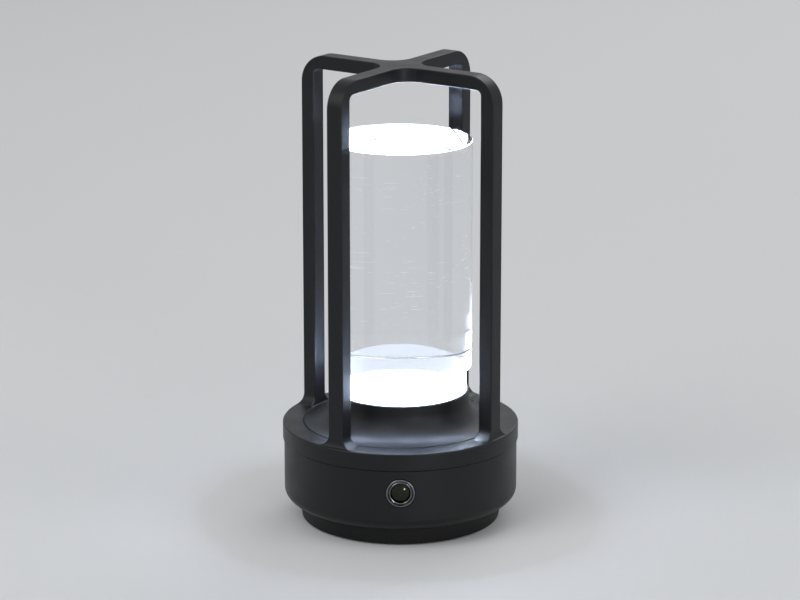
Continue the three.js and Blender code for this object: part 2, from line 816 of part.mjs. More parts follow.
function driverChip() {
  return block(-chipSide / 2, chipSide / 2, -chipSide / 2, chipSide / 2, partLevel, partLevel + chipHeight);
}

// Push button, in line with its own axis: Z runs inwards from the drum's surface

function buttonCap() {
  const domeRound = (capRadius ** 2 + capDome ** 2) / (2 * capDome);
  const domeEnd = Math.acos(capRadius / domeRound);
  return turned([
    ...arc(0, domeRound - capProud, domeRound, domeRound, -Math.PI / 2, -domeEnd, capSteps),
    [capRadius, capFlangeFront],
    [capFlangeRadius, capFlangeFront],
    [capFlangeRadius, capFlangeBack],
    [stemRadius, capFlangeBack],
    [stemRadius, stemEnd],
    [0, stemEnd],
  ], smallSides);
}

function buttonBezel() {
  const crest = bezelRadius - bezelRound - bezelCrest;
  const innerRim = bezelBore + bezelRound;
  return turned([
    [bezelBore, -bezelProud + bezelRound],
    [innerRim, -bezelProud + bezelInnerDrop],
    [(innerRim + crest) / 2, -bezelProud + bezelDish],
    [crest, -bezelProud],
    [bezelRadius - bezelRound, -bezelProud],
    [bezelRadius, -bezelProud + bezelRound],
    [bezelRadius, bezelBack],
    [barrelRadius, bezelBack],
    [barrelRadius, bezelLength],
    [barrelInner, bezelLength],
    [barrelInner, boreStep],
    [bezelBore, boreStep],
    [bezelBore, -bezelProud + bezelRound],
  ], smallSides);
}

function bezelNut() {
  const corner = nutAcross / 2 / Math.cos(Math.PI / 6);
  const back = nutFront + nutThickness;
  const hex = disc(corner, nutFront, back, 6);
  return cut(hex, disc(barrelRadius + seam, nutFront - cutOver, back + cutOver, smallSides));
}

function springSeat() {
  return closedRing(stemHole, barrelInner - seam, seatFront, seatBack, smallSides);
}

class HelixCurve extends THREE.Curve {
  constructor(radius, start, end, turns) {
    super();
    this.radius = radius;
    this.start = start;
    this.end = end;
    this.turns = turns;
  }

  getPoint(share, target = new THREE.Vector3()) {
    const angle = 2 * Math.PI * this.turns * share;
    const height = this.start + (this.end - this.start) * share;
    return target.set(this.radius * Math.cos(angle), this.radius * Math.sin(angle), height);
  }
}

// A round wire or lead along a curve
function tube(curve, radius, sides, steps) {
  const section = outlineShape(arc(0, 0, radius, radius, 0, 2 * Math.PI, sides).slice(0, sides));
  return new THREE.ExtrudeGeometry(section, { extrudePath: curve, steps, bevelEnabled: false });
}

function buttonSpring() {
  const start = capFlangeBack + seam + springWire;
  const end = seatFront - seam - springWire;
  const helix = new HelixCurve(stemRadius + springFit + springWire, start, end, springTurns);
  return tube(helix, springWire, springSides, springSteps);
}

function tactSwitch() {
  const half = tactSide / 2;
  const body = block(-half, half, -half, half, tactFront, tactFront + tactDepth);
  return join(body, disc(plungerRadius, plungerTip, tactFront + tactDepth / 2, screwSides));
}

function switchBoard() {
  const half = switchBoardWidth / 2;
  const board = block(-half, half, -switchBoardUp, switchBoardDown, switchBoardFront, switchBoardBack);
  const holes = bothSides.map((side) =>
    disc(boardHole, switchBoardFront - cutOver, switchBoardBack + cutOver, screwSides)
      .translate(side * switchScrewSpread, -switchScrewUp, 0));
  return cut(board, ...holes);
}

// Leads: from a board or strip to its connector, by points along the way

function lead(points) {
  const places = points.map(([x, y, z]) => new THREE.Vector3(x, y, z));
  const curve = new THREE.CatmullRomCurve3(places, false, 'centripetal');
  return tube(curve, leadRadius, leadSides, leadSteps);
}

const connectorEnd = (x) => [
  [x, connectorRow, connectorTop + seam + 2 * leadRadius],
  [x, connectorRow, connectorTop + seam],
];

function ledLead() {
  const x = leadHoleCircle * Math.cos(leadHoleAngle);
  const y = leadHoleCircle * Math.sin(leadHoleAngle);
  return lead([
    [x, y, domeSeat - seam],
    [x, y, plateBottom - seam],
    [(x - connectorPitch) / 2, (y + connectorRow) / 2, (plateBottom + connectorTop) / 2],
    ...connectorEnd(-connectorPitch),
  ]);
}

function batteryLead() {
  const level = cellLevel + stripUp / 2 + leadRadius / 2;
  const turnOut = stripOuter + seam + 4 * leadRadius;
  return lead([
    [stripOuter + seam, cellPitch, level],
    [stripOuter + seam + 2 * leadRadius, cellPitch, level],
    [turnOut, cellsHalfWidth, level],
    [stripInner - 4 * leadRadius, boardFront + leadRadius, level],
    [connectorPitch + 4 * leadRadius, connectorRow - 4 * leadRadius, level],
    ...connectorEnd(connectorPitch),
  ]);
}

function switchLead() {
  const start = switchBoardWidth / 2 + seam;
  const y = switchBoardFront + boardThickness / 2 - drumRadius;
  const over = cellLevel + cellRadius + 3 * leadRadius;
  return lead([
    [start, y, buttonLevel],
    [start + 2 * leadRadius, y, buttonLevel],
    [start + 5 * leadRadius, -cellsHalfWidth - 4 * leadRadius, (buttonLevel + over) / 2],
    [start, -cellPitch, over],
    [0, 0, over],
    [0, cellsHalfWidth, over],
    ...connectorEnd(0),
  ]);
}

// Assembly

const lantern = new THREE.Group();
lantern.name = 'led_lantern';

function add(name, geometry, material) {
  const mesh = new THREE.Mesh(geometry, material);
  mesh.name = name;
  geometry.computeVertexNormals();
  lantern.add(mesh);
  return mesh;
}

add('cage_frame', cageFrame(), satinBlack()).rotation.z = cageTurn;
add('top_plate', topPlate(), satinBlack());
add('light_column', lightColumn(), finish(0xe8f0f4, 0.05, 0));
add('diffuser_dome', diffuserDome(), whitePlastic());
add('column_gasket', columnGasket(), finish(0xd9dcdc, 0.7, 0));
add('led_board', ledBoard(), whitePlastic());
for (let i = 0; i < ledCount; i += 1) {
  const angle = (2 * Math.PI * i) / ledCount;
  const chip = add(`led_chip_${i + 1}`, ledChip(), finish(0xf2d44a, 0.3, 0));
  chip.position.set(ledCircle * Math.cos(angle), ledCircle * Math.sin(angle), 0);
  chip.rotation.z = angle;
}
add('drum_shell', drumShell(), satinBlack());
add('foot_cover', footCover(), blackPlastic());
add('foot_pad', footPad(), finish(0x0d0d0e, 0.9, 0));
add('ballast_plate', ballastPlate(), steel());
add('battery_tray', batteryTray(), blackPlastic());
bothSides.forEach((side, i) => {
  const cell = add(`battery_cell_${i + 1}`, batteryCell(), finish(0x1c4f8f, 0.35, 0));
  cell.position.set(0, side * cellPitch, cellLevel);
  add(`cell_strip_${i + 1}`, cellStrip(), steel()).rotation.z = halfTurns[i];
});
add('main_board', mainBoard(), circuitBoard());
add('usb_socket', usbSocket(), steel());
for (let i = 0; i < 3; i += 1) {
  add(`lead_connector_${i + 1}`, leadConnector(), whitePlastic()).position.x = (i - 1) * connectorPitch;
}
add('driver_chip', driverChip(), blackPlastic()).position.set(-(partGap + chipSide) / 2, partRow, 0);
add('driver_coil', disc(coilRadius, partLevel, partLevel + coilHeight, screwSides), finish(0x2b2b2e, 0.8, 0))
  .position.set(partGap / 2 + coilRadius, partRow, 0);
add('button_cap', intoFront(buttonCap()), chrome());
add('button_bezel', intoFront(buttonBezel()), chrome());
add('bezel_nut', intoFront(bezelNut()), steel());
add('button_spring', intoFront(buttonSpring()), steel());
add('spring_seat', intoFront(springSeat()), steel());
add('tact_switch', intoFront(tactSwitch()), blackPlastic());
add('switch_board', intoFront(switchBoard()), circuitBoard());
add('led_lead', ledLead(), whitePlastic());
add('battery_lead', batteryLead(), finish(0xb3201c, 0.5, 0));
add('switch_lead', switchLead(), blackPlastic());

function addScrews(name, size, seat, tip, places) {
  places.forEach(([x, y], i) => {
    add(`${name}_${i + 1}`, screw(size, seat, tip), steel()).position.set(x, y, 0);
  });
}

const onCircle = (radius, turns) => turns.map((turn) => [radius * Math.cos(turn), radius * Math.sin(turn)]);
const boardScrewPlaces = bothSides.map((side) =>
  [side * (boardWidth / 2 - boardScrewInset), boardScrewRow]);

addScrews('plate_screw', caseScrew, plateScrewSeat, plateTip, onCircle(screwCircle, plateScrewTurns));
addScrews('case_screw', caseScrew, caseScrewSeat, caseScrewTip, onCircle(screwCircle, caseScrewTurns));
addScrews('foot_screw', caseScrew, footScrewSeat, footScrewTip, onCircle(screwCircle, footScrewTurns));
addScrews('led_screw', boardScrew, ledScrewSeat, ledScrewTip, onCircle(ledScrewCircle, halfTurns));
addScrews('tray_screw', boardScrew, trayScrewSeat, trayScrewTip, onCircle(screwCircle, halfTurns));
addScrews('board_screw', boardScrew, boardScrewSeat, boardScrewTip, boardScrewPlaces);
const switchScrewTip = upstandFront + switchScrewBite - screwEnd / 2;
bothSides.forEach((side, i) => {
  const fixing = intoFront(screw(boardScrew, switchBoardFront - seam, switchScrewTip));
  add(`switch_screw_${i + 1}`, fixing, steel()).position.set(side * switchScrewSpread, 0, switchScrewUp);
});

export default lantern;
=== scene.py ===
"""LED lantern: its visible pieces and finishes, built round the packed CAD frame, in metres."""

import math

import bpy
from bpy.props import FloatProperty, FloatVectorProperty, PointerProperty
from bpy.types import Operator, Panel, PropertyGroup
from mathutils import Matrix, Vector


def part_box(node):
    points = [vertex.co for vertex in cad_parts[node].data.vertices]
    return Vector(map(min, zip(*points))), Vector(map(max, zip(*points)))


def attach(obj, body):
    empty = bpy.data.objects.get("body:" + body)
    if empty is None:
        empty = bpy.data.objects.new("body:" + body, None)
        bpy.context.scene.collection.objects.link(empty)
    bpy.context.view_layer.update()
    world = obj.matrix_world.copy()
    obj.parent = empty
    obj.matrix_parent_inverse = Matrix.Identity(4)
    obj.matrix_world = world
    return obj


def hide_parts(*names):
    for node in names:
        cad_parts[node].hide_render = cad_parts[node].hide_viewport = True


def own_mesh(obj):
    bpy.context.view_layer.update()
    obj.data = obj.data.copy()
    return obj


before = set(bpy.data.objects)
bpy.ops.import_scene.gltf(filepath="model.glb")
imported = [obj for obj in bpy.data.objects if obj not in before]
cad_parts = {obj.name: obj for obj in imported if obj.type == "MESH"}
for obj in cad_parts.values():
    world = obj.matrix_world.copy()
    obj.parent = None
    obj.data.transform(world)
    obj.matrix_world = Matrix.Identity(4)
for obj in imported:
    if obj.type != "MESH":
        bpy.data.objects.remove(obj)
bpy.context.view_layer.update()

BOX = {name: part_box(name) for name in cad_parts}

bl_info = {
    "name": "LED lantern",
    "version": (1, 0, 0),
    "blender": (4, 5, 0),
    "location": "3D View > Sidebar > Lantern",
    "description": "Models the lantern's visible pieces and finishes round its CAD frame",
    "category": "Add Mesh",
}

MM = 0.001
WELD = 1e-6
DOT = 1e-5
QUARTER = math.pi / 2
FULL_TURN = 2 * math.pi

# How finely each kind of piece is spun and rounded
BASE_STEPS = 240
COLUMN_STEPS = 192
BUTTON_STEPS = 96
CORNER_STEPS = 12
FILLET_STEPS = 10
ROUND_STEPS = 4
SMOOTH_ANGLE = math.radians(32)

LANTERN = "lantern"
BUTTON = "button"
SPRING_TURNS = 5
BUTTON_LEVEL = (BOX["button_bezel"][0].z + BOX["button_bezel"][1].z) / 2
BUTTON_AXIS = Vector((0, 1, 0))
# The gap that the CAD keeps between two pieces
SEAM = 0.3 * MM
# How square the channel between the button's rims is
CHANNEL_POWER = 2.2
# How far a cut starts outside the drum and how deep it goes, in walls
CUT_START = MM
CUT_WALLS = 4

# Refraction of the two plastics that pass light
ACRYLIC_IOR = 1.49
OPAL_IOR = 1.58
# Cell sizes in millimetres: clouds in the lit plastics, and patches of scratches
CLOUD = 9
SCRATCH_PATCH = 22
# The column's radius in millimetres, for patterns that run round it
ROUND_RADIUS = 33.0
# Scratches and specks: length, width, shift, and the thresholds where they are rare and common
MARKS = ((4.0, 0.3, 0.0, 0.8, 0.66), (0.5, 0.4, 60.0, 0.86, 0.76))
MARK_EDGE = 0.05
MARK_ROUGHNESS = 0.3
# Strength of the scratches' painted glow, an emission in place of scattered light
MARK_PAINTED_GLOW = 0.35
# The share of the fine grain in a surface's tone and gloss; slower patches give the rest
FINE_SHARE = 0.45

# The soft lamps' sizes and places, and the level that they face
KEY_LAMP = (1.4, (-1.3, -1.1, 1.6))
FILL_LAMP = (1.2, (1.6, -0.7, 0.9))
RIM_LAMP = (1.0, (0.7, 1.5, 1.3))
LAMP_AIM = 0.1
# The small lamp that the button's dome mirrors: its place, size and spread
GLINT_AT = (0.63, -1.46, 0.25)
GLINT_SIZE = (0.2, 0.3)
GLINT_SPREAD = math.radians(60)


def linear(code):
    """Turns an sRGB hex colour into linear red, green and blue."""
    parts = [int(code[i : i + 2], 16) / 255 for i in (0, 2, 4)]
    return [p / 12.92 if p <= 0.04045 else ((p + 0.055) / 1.055) ** 2.4 for p in parts]


def length(text, metres):
    """A length that a user may change."""
    return FloatProperty(name=text, default=metres, unit="LENGTH", precision=5)


def bearing(text, degrees):
    """An angle that a user may change."""
    return FloatProperty(name=text, default=math.radians(degrees), subtype="ANGLE")


def colour(text, code):
    """A colour that a user may change, given as sRGB hex."""
    return FloatVectorProperty(name=text, default=linear(code), size=3, subtype="COLOR", min=0, max=1)


def level(text, value):
    """A plain number, such as a strength."""
    return FloatProperty(name=text, default=value, min=0)


class CageSizes(PropertyGroup):
    """Sizes of the ring, posts and crossing bars."""

    radius: length("Outside of the ring", BOX["cage_frame"][1].x)
    height: length("Top of the crossing bars", BOX["cage_frame"][1].z)
    ring_height: length("Height of the ring", 8 * MM)
    ring_edge: length("Rounding of the ring's top edge", 0.7 * MM)
    ring_foot: length("Rounding of the ring's bottom edge", 0.25 * MM)
    land: length("Ring's top face, in to the plate's pocket", 9.6 * MM)
    chamfer: length("Chamfer on the pocket's edge", 0.3 * MM)
    ledge_depth: length("From the ring's top to the ledge", 3.3 * MM)
    ledge_radius: length("Inside of the ledge", 37 * MM)
    lip_outer: length("Lip that sits in the drum", 51.5 * MM)
    lip_wall: length("Thickness of that lip", 3.2 * MM)
    lip_bottom: length("Lowest level of that lip", 36.65 * MM)
    width: length("Width of each post and bar", 8 * MM)
    depth: length("Depth of each post", 6.9 * MM)
    bar: length("Thickness of the crossing bars", 6.4 * MM)
    setback: length("From the ring's outside to the posts", 2.2 * MM)
    corner: length("Outer radius where a bar turns down", 13 * MM)
    inner_corner: length("Inner radius of that turn", 2.5 * MM)
    fillet: length("Radius between two bars, from above", 10 * MM)
    rounding: length("Rounding of the long edges", 0.5 * MM)
    flare: length("Height of a post's flared foot", 5 * MM)
    flare_out: length("How far a foot flares outwards", 1.5 * MM)
    sink: length("How deep a leg runs into the ring", 4 * MM)
    twist: bearing("Turn of the first post from the right-hand side", -34.1)


class BaseSizes(PropertyGroup):
    """Sizes of the top plate, drum, foot and pad."""

    plate_radius: length("Outside of the top plate", BOX["top_plate"][1].x)
    plate_thick: length("Thickness of the plate's rim", 3 * MM)
    plate_edge: length("Chamfer of the plate and neck", 0.3 * MM)
    neck_radius: length("Outside of the raised neck", 32 * MM)
    neck_wall: length("Thickness of the neck", 1.1 * MM)
    neck_fillet: length("Wide flare at the neck's foot", 11.5 * MM)
    web: length("Floor under the column", 3.5 * MM)
    drum_radius: length("Outside of the drum", BOX["drum_shell"][1].x)
    drum_wall: length("Thickness of the drum's wall", 2.6 * MM)
    drum_floor: length("Thickness of the drum's floor", 2.4 * MM)
    corner_wide: length("Width of the lower rounding", 7.8 * MM)
    corner_high: length("Height of the lower rounding", 6.1 * MM)
    drum_edge: length("Rounding of the drum's top edge", 0.25 * MM)
    spot_radius: length("Flat round the button", 7 * MM)
    spot_depth: length("Depth of that flat", 0.9 * MM)
    hole_radius: length("Radius of the button's hole", 6.2 * MM)
    foot_radius: length("Top of the foot", BOX["foot_cover"][1].x)
    foot_taper: length("How much narrower the foot's bottom is", 1.2 * MM)
    foot_edge: length("Rounding of the foot's bottom edge", 0.8 * MM)
    foot_wall: length("Thickness of the foot's wall", 2.8 * MM)
    foot_floor: length("Thickness of the foot's floor", 2.2 * MM)
    groove: length("Top level of the pad's groove", 1.9 * MM)
    pad_radius: length("Outside of the rubber pad", BOX["foot_pad"][1].x)
    pad_width: length("Width of the rubber ring", 6.2 * MM)
    pad_edge: length("Rounding of the pad's edges", 0.35 * MM)
    rib_pitch: length("From one moulded rib to the next", 1.24 * MM)
    rib_depth: length("Depth of the grooves between ribs", 0.25 * MM)


class ColumnSizes(PropertyGroup):
    """Sizes of the acrylic column and the dome in its foot."""

    radius: length("Outside of the column", BOX["light_column"][1].x)
    step: length("How much narrower the foot is", 2.5 * MM)
    reveal: length("Narrow foot above the neck", 11.1 * MM)
    edge: length("Chamfer of the column's edges", 0.4 * MM)
    hollow: length("Radius of the hollow over the dome", 26.6 * MM)
    dome: length("Outside of the dome", 26 * MM)
    dome_wall: length("Thickness of the dome", 1.8 * MM)
    flange: length("Thickness of the dome's flange", 1.5 * MM)


class ButtonSizes(PropertyGroup):
    """Sizes of the button's ring, cap and spring."""

    radius: length("Outside of the chrome ring", BOX["button_bezel"][1].x)
    crest: length("Flat top of the outer rim", 0.3 * MM)
    rounding: length("Rounding of both rims", 0.4 * MM)
    dish: length("Depth of the channel between the rims", 0.45 * MM)
    drop: length("How much lower the inner rim is", 0.2 * MM)
    bore: length("Hole for the cap", 4.6 * MM)
    lip: length("Thickness of the ring's lip", 1.1 * MM)
    step: length("Where the bore widens behind the lip", 0.8 * MM)
    barrel: length("Outside of the threaded barrel", 5.9 * MM)
    barrel_wall: length("Wall of that barrel", 0.8 * MM)
    thread: length("Pitch of the barrel's thread", 0.6 * MM)
    thread_depth: length("Depth of that thread", 0.12 * MM)
    cap: length("Radius of the domed cap", 4.35 * MM)
    dome: length("Height of the cap's dome", 1.15 * MM)
    flange: length("Collar that holds the cap in", 4.85 * MM)
    flange_front: length("Collar's depth behind the drum's face", 1.7 * MM)
    flange_thick: length("Thickness of the collar", 1 * MM)
    stem: length("Stem behind the cap", 1.6 * MM)
    wire: length("Radius of the return spring's wire", 0.3 * MM)


class InletSizes(PropertyGroup):
    """Sizes of the charging inlet at the back."""

    skin: length("Sheet the shell is drawn from", 0.3 * MM)
    depth: length("Depth of the mouth", 5.5 * MM)
    tongue_width: length("Width of the tongue", 6.7 * MM)
    tongue_thick: length("Thickness of the tongue", 0.7 * MM)
    tongue_length: length("Length of the tongue", 4.5 * MM)
    clearance: length("Gap round the shell", 0.3 * MM)
    recess_width: length("Width of the recess in the drum", 12.6 * MM)
    recess_height: length("Height of that recess", 6.6 * MM)
    recess_depth: length("Depth of that recess", 1 * MM)


class Finishes(PropertyGroup):
    """Colours and light of the finishes."""

    coat: colour("Satin black coat of cage and plate", "090a0c")
    shell: colour("Satin black moulded drum", "08090a")
    foot: colour("Matt black moulded foot", "070708")
    rubber: colour("Black rubber pad", "111112")
    acrylic: colour("Tint of the clear column", "fbfdff")
    # Colour of the painted glow on the column's scratches
    painted_scratch_glow: colour("Light caught by fine scratches", "dfe9f5")
    glow: colour("Cool white light of the lamp", "cfe0ff")
    light: level("Strength of the lit foot", 10.0)
    spill: level("Strength of the light that leaves the foot sideways", 6.0)
    shed: level("Strength of the light that leaves the step downwards", 80.0)
    # Near-black chrome on the button's channel and cap: a painted dark reflection
    chrome: colour("Dark chrome of the button's channel and cap", "32332c")
    # Paler chrome on the button's two rims: a painted highlight
    rubbed: colour("Paler chrome of the button's rims", "6f7377")


class StageSizes(PropertyGroup):
    """Floor, lamps and camera."""

    floor: colour("Pale floor and backdrop", "c9cbcd")
    room: level("Strength of the even light", 0.6)
    key: level("Watts of the large soft lamp", 20)
    fill: level("Watts of the second soft lamp", 7)
    glint: level("Watts of the small lamp that the button mirrors", 0.4)
    distance: length("From the camera to what it aims at", 1.557459)
    aim: length("Height that the camera aims at", 0.10403)
    aside: length("Sideways place of the camera", -0.000221)
    lens: level("Focal length in millimetres on a 36 mm sensor", 151.26)
    pitch: bearing("How far the camera looks down", 15.326)


# Modelling


def deselect():
    """Leaves edit mode with nothing selected."""
    if bpy.context.object and bpy.context.object.mode != "OBJECT":
        bpy.ops.object.mode_set(mode="OBJECT")
    bpy.ops.object.select_all(action="DESELECT")


def only(piece):
    """Selects one piece and makes it active."""
    deselect()
    piece.select_set(True)
    bpy.context.view_layer.objects.active = piece


def edit(piece, kind="VERT", chosen=None):
    """Opens a piece for editing with the vertices, edges or faces for which chosen is true."""
    only(piece)
    bpy.ops.object.mode_set(mode="EDIT")
    bpy.ops.mesh.select_mode(type=kind)
    bpy.ops.mesh.select_all(action="DESELECT" if chosen else "SELECT")
    if chosen:
        bpy.ops.object.mode_set(mode="OBJECT")
        mesh = piece.data
        parts = {"VERT": mesh.vertices, "EDGE": mesh.edges, "FACE": mesh.polygons}[kind]
        picked = [part for part in parts if chosen(mesh, part)]
        if not picked:
            raise RuntimeError(f"{piece.name}: nothing matched the selection")
        for part in picked:
            part.select = True
        bpy.ops.object.mode_set(mode="EDIT")


def settle(piece):
    """Closes doubled seams, turns the faces outwards and puts the piece's place in its mesh."""
    edit(piece)
    bpy.ops.mesh.remove_doubles(threshold=WELD)
    bpy.ops.mesh.select_all(action="SELECT")
    bpy.ops.mesh.normals_make_consistent(inside=False)
    bpy.ops.object.mode_set(mode="OBJECT")
    bpy.ops.object.transform_apply(location=True, rotation=True, scale=True)


def pull(by):
    """Extrudes what is selected."""
    bpy.ops.mesh.extrude_region_move(TRANSFORM_OT_translate={"value": by})


def draw(name, points, closed=True):
    """Merges a small plane to one vertex and extrudes it along the points."""
    points = [Vector(point) for point in points]
    deselect()
    bpy.ops.mesh.primitive_plane_add(size=DOT, location=points[0])
    piece = bpy.context.object
    piece.name = piece.data.name = name
    bpy.ops.object.mode_set(mode="EDIT")
    bpy.ops.mesh.select_mode(type="VERT")
    bpy.ops.mesh.select_all(action="SELECT")
    bpy.ops.mesh.merge(type="CENTER")
    path = points + points[:1] if closed else points
    for here, there in zip(path, path[1:]):
        pull(there - here)
    bpy.ops.mesh.select_all(action="SELECT")
    if closed:
        bpy.ops.mesh.remove_doubles(threshold=WELD)
    return piece


def turned(name, outline, steps, closed=True, button=False):
    """Spins an outline of (radius, level) pairs about the lantern's axis or the button's."""
    axis = BUTTON_AXIS if button else Vector((0, 0, 1))
    centre = Vector((0, 0, BUTTON_LEVEL if button else 0))
    piece = draw(name, [centre + Vector((r, 0, 0)) + axis * at for r, at in outline], closed)
    bpy.ops.mesh.spin(steps=steps, angle=FULL_TURN, center=centre, axis=axis, use_auto_merge=True)
    settle(piece)
    return piece


def drawn_out(name, points, by):
    """Fills a closed outline and extrudes it."""
    piece = draw(name, points)
    bpy.ops.mesh.edge_face_add()
    pull(by)
    settle(piece)
    return piece


def arc(centre, at, radius, start, end, steps, high=None):
    """Points of an arc about (centre, at), in degrees, or of an ellipse's arc if high is given."""
    high = radius if high is None else high
    angles = [math.radians(start + (end - start) * i / steps) for i in range(steps + 1)]
    return [(centre + radius * math.cos(a), at + high * math.sin(a)) for a in angles]


def combine(piece, other, operation):
    """Applies a Boolean with another piece, which is then deleted."""
    only(piece)
    step = piece.modifiers.new(operation.title(), "BOOLEAN")
    step.operation, step.solver, step.object = operation, "EXACT", other
    bpy.ops.object.modifier_apply(modifier=step.name)
    only(other)
    bpy.ops.object.delete()
    only(piece)


def smoothed(piece, weighted=False):
    """Smooths the faces except across real edges, and steadies the shading of flats."""
    only(piece)
    bpy.ops.object.shade_smooth_by_angle(angle=SMOOTH_ANGLE)
    if weighted:
        step = piece.modifiers.new("Weighted normal", "WEIGHTED_NORMAL")
        step.keep_sharp = True
        bpy.ops.object.modifier_apply(modifier=step.name)


def place(piece, body, node, slot, *more, weighted=False):
    """Smooths a finished piece, gives it its finishes and body, and hides its CAD node."""
    smoothed(piece, weighted)
    for name in (slot, *more):
        piece.data.materials.append(MATERIALS[name])
    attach(piece, body)
    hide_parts(node)


def painted(piece, index, chosen):
    """Gives the faces for which chosen is true another of the piece's finishes."""
    edit(piece, "FACE", chosen)
    piece.active_material_index = index
    bpy.ops.object.material_slot_assign()
    deselect()


def stadium(width, height, middle, y, steps=ROUND_STEPS * 3):
    """Points of a slot's outline in a plane across Y."""
    radius, reach = height / 2, (width - height) / 2
    right = arc(reach, middle, radius, -90, 90, steps)
    left = arc(-reach, middle, radius, 90, 270, steps)
    return [(x, y, z) for x, z in right + left]


# Materials


def add(tree, kind, ins=None, **settings):
    """Adds a node with its settings, and gives each named input a value or a link."""
    made = tree.nodes.new(kind)
    for name, value in settings.items():
        setattr(made, name, value)
    for name, value in (ins or {}).items():
        if isinstance(value, bpy.types.NodeSocket):
            tree.links.new(value, made.inputs[name])
        else:
            made.inputs[name].default_value = value
    return made


def started(name):
    """A new material, its node tree, emptied, and a node that gives Object coordinates."""
    material = bpy.data.materials.new(name)
    material.use_nodes = True
    tree = material.node_tree
    tree.nodes.clear()
    return material, tree, add(tree, "ShaderNodeTexCoord").outputs["Object"]


def ended(tree, ins):
    """Adds the material's one shader, with its inputs, and links it to the output."""
    shader = add(tree, "ShaderNodeBsdfPrincipled", ins)
    add(tree, "ShaderNodeOutputMaterial", {"Surface": shader.outputs[0]})


def noise(tree, where, cell, detail=2.0):
    """A noise pattern whose cells have a size in millimetres."""
    ins = {"Vector": where, "Scale": 1 / (cell * MM), "Detail": detail}
    return add(tree, "ShaderNodeTexNoise", ins).outputs[0]


def bumped(tree, pattern, depth):
    """A relief with a depth in millimetres."""
    ins = {"Height": pattern, "Distance": depth * MM, "Strength": 1.0}
    return add(tree, "ShaderNodeBump", ins).outputs[0]


def spread(tree, value, low, high, start=0.3, stop=0.7):
    """Maps a pattern's middle range to two limits."""
    ins = {"Value": value, "From Min": start, "From Max": stop, "To Min": low, "To Max": high}
    return add(tree, "ShaderNodeMapRange", ins).outputs["Result"]


def sums(tree, operation, first, second=0.0):
    """One sum of two values."""
    return add(tree, "ShaderNodeMath", {0: first, 1: second}, operation=operation).outputs[0]


def blended(tree, factor, first, second):
    """Mixes two colours."""
    ins = {0: factor, 6: first, 7: second}
    return add(tree, "ShaderNodeMix", ins, data_type="RGBA").outputs[2]


def tinted(code, share):
    """A linear colour made lighter or darker by a share, as a node takes it."""
    values = linear(code) if isinstance(code, str) else list(code)
    return [min(1.0, value * share) for value in values] + [1.0]


def grained(
    name, code, roughness, grain, relief, metallic=0.0, vary=0.08, patch=12.0, stretch=(1, 1, 1),
    mottle=0.12, **sockets
):
    """A surface with a grain of one real size and slower patches of tone and gloss.

    grain and patch are cell sizes in millimetres, relief is the grain's depth in millimetres.
    """
    material, tree, where = started(name)
    stretched = add(tree, "ShaderNodeMapping", {"Vector": where, "Scale": stretch}).outputs[0]
    fine, slow = noise(tree, stretched, grain, 3.0), noise(tree, where, patch)
    shares = (sums(tree, "MULTIPLY", fine, FINE_SHARE), sums(tree, "MULTIPLY", slow, 1 - FINE_SHARE))
    both = sums(tree, "ADD", *shares)
    tones = (tinted(code, 1 - mottle), tinted(code, 1 + mottle))
    ins = {
        "Base Color": blended(tree, spread(tree, both, 0.0, 1.0), *tones),
        "Roughness": spread(tree, both, roughness - vary, roughness + vary),
        "Normal": bumped(tree, fine, relief),
        "Metallic": metallic,
    }
    ins.update((socket.replace("_", " "), value) for socket, value in sockets.items())
    ended(tree, ins)
    return material


def clear_acrylic(look):
    """Cast acrylic (PMMA), turned and polished: clear as glass, IOR 1.49.

    The polish left fine level scratches that run round the column, and a few specks. They are
    rougher, and they glow with a painted light: an emission that stands in for the light that the
    column carries and they would scatter. A real one is thinner than a pixel, so these are drawn
    0.3 mm wide and faint.
    """
    material, tree, where = started("Polished_cast_acrylic")
    parts = add(tree, "ShaderNodeSeparateXYZ", {"Vector": where}).outputs
    # Millimetres round the column, from a seam at the back
    turn = sums(tree, "ARCTAN2", parts[0], sums(tree, "MULTIPLY", parts[1], -1))
    round_it = sums(tree, "MULTIPLY", turn, ROUND_RADIUS)
    height = sums(tree, "MULTIPLY", parts[2], 1 / MM)
    patches = noise(tree, where, SCRATCH_PATCH)
    marks = None
    for along, across, shift, rare, common in MARKS:
        places = (sums(tree, "DIVIDE", round_it, along), sums(tree, "DIVIDE", height, across), shift)
        flat = add(tree, "ShaderNodeCombineXYZ", dict(enumerate(places))).outputs[0]
        cut = spread(tree, patches, rare, common)
        over = sums(tree, "SUBTRACT", noise(tree, flat, 1 / MM, 1.0), cut)
        mark = spread(tree, over, 0.0, 1.0, 0.0, MARK_EDGE)
        marks = mark if marks is None else sums(tree, "MAXIMUM", marks, mark)
    ended(tree, {
        "Base Color": list(look.acrylic) + [1.0],
        "Roughness": sums(tree, "MULTIPLY", marks, MARK_ROUGHNESS),
        "IOR": ACRYLIC_IOR,
        "Transmission Weight": 1.0,
        # The scratches' painted glow: an emission that stands in for the column's scattered light
        "Emission Color": list(look.painted_scratch_glow) + [1.0],
        "Emission Strength": sums(tree, "MULTIPLY", marks, MARK_PAINTED_GLOW),
    })
    return material


def lit_foot(look):
    """The acrylic's hollow and seat, sandblasted: the white blast scatters the lamp's cool light."""
    material, tree, where = started("Sandblasted_acrylic_lit")
    blast, cloud = noise(tree, where, 0.8), noise(tree, where, CLOUD)
    ended(tree, {
        "Base Color": tinted("eef2f6", 1.0),
        "Roughness": spread(tree, blast, 0.55, 0.75),
        "IOR": ACRYLIC_IOR,
        "Normal": bumped(tree, blast, 0.03),
        "Emission Color": list(look.glow) + [1.0],
        "Emission Strength": sums(tree, "MULTIPLY", spread(tree, cloud, 0.92, 1.08), look.light),
    })
    # It is inside clear acrylic, so a ray meets it by chance and no lamp ray is aimed at it
    material.cycles.emission_sampling = "NONE"
    return material


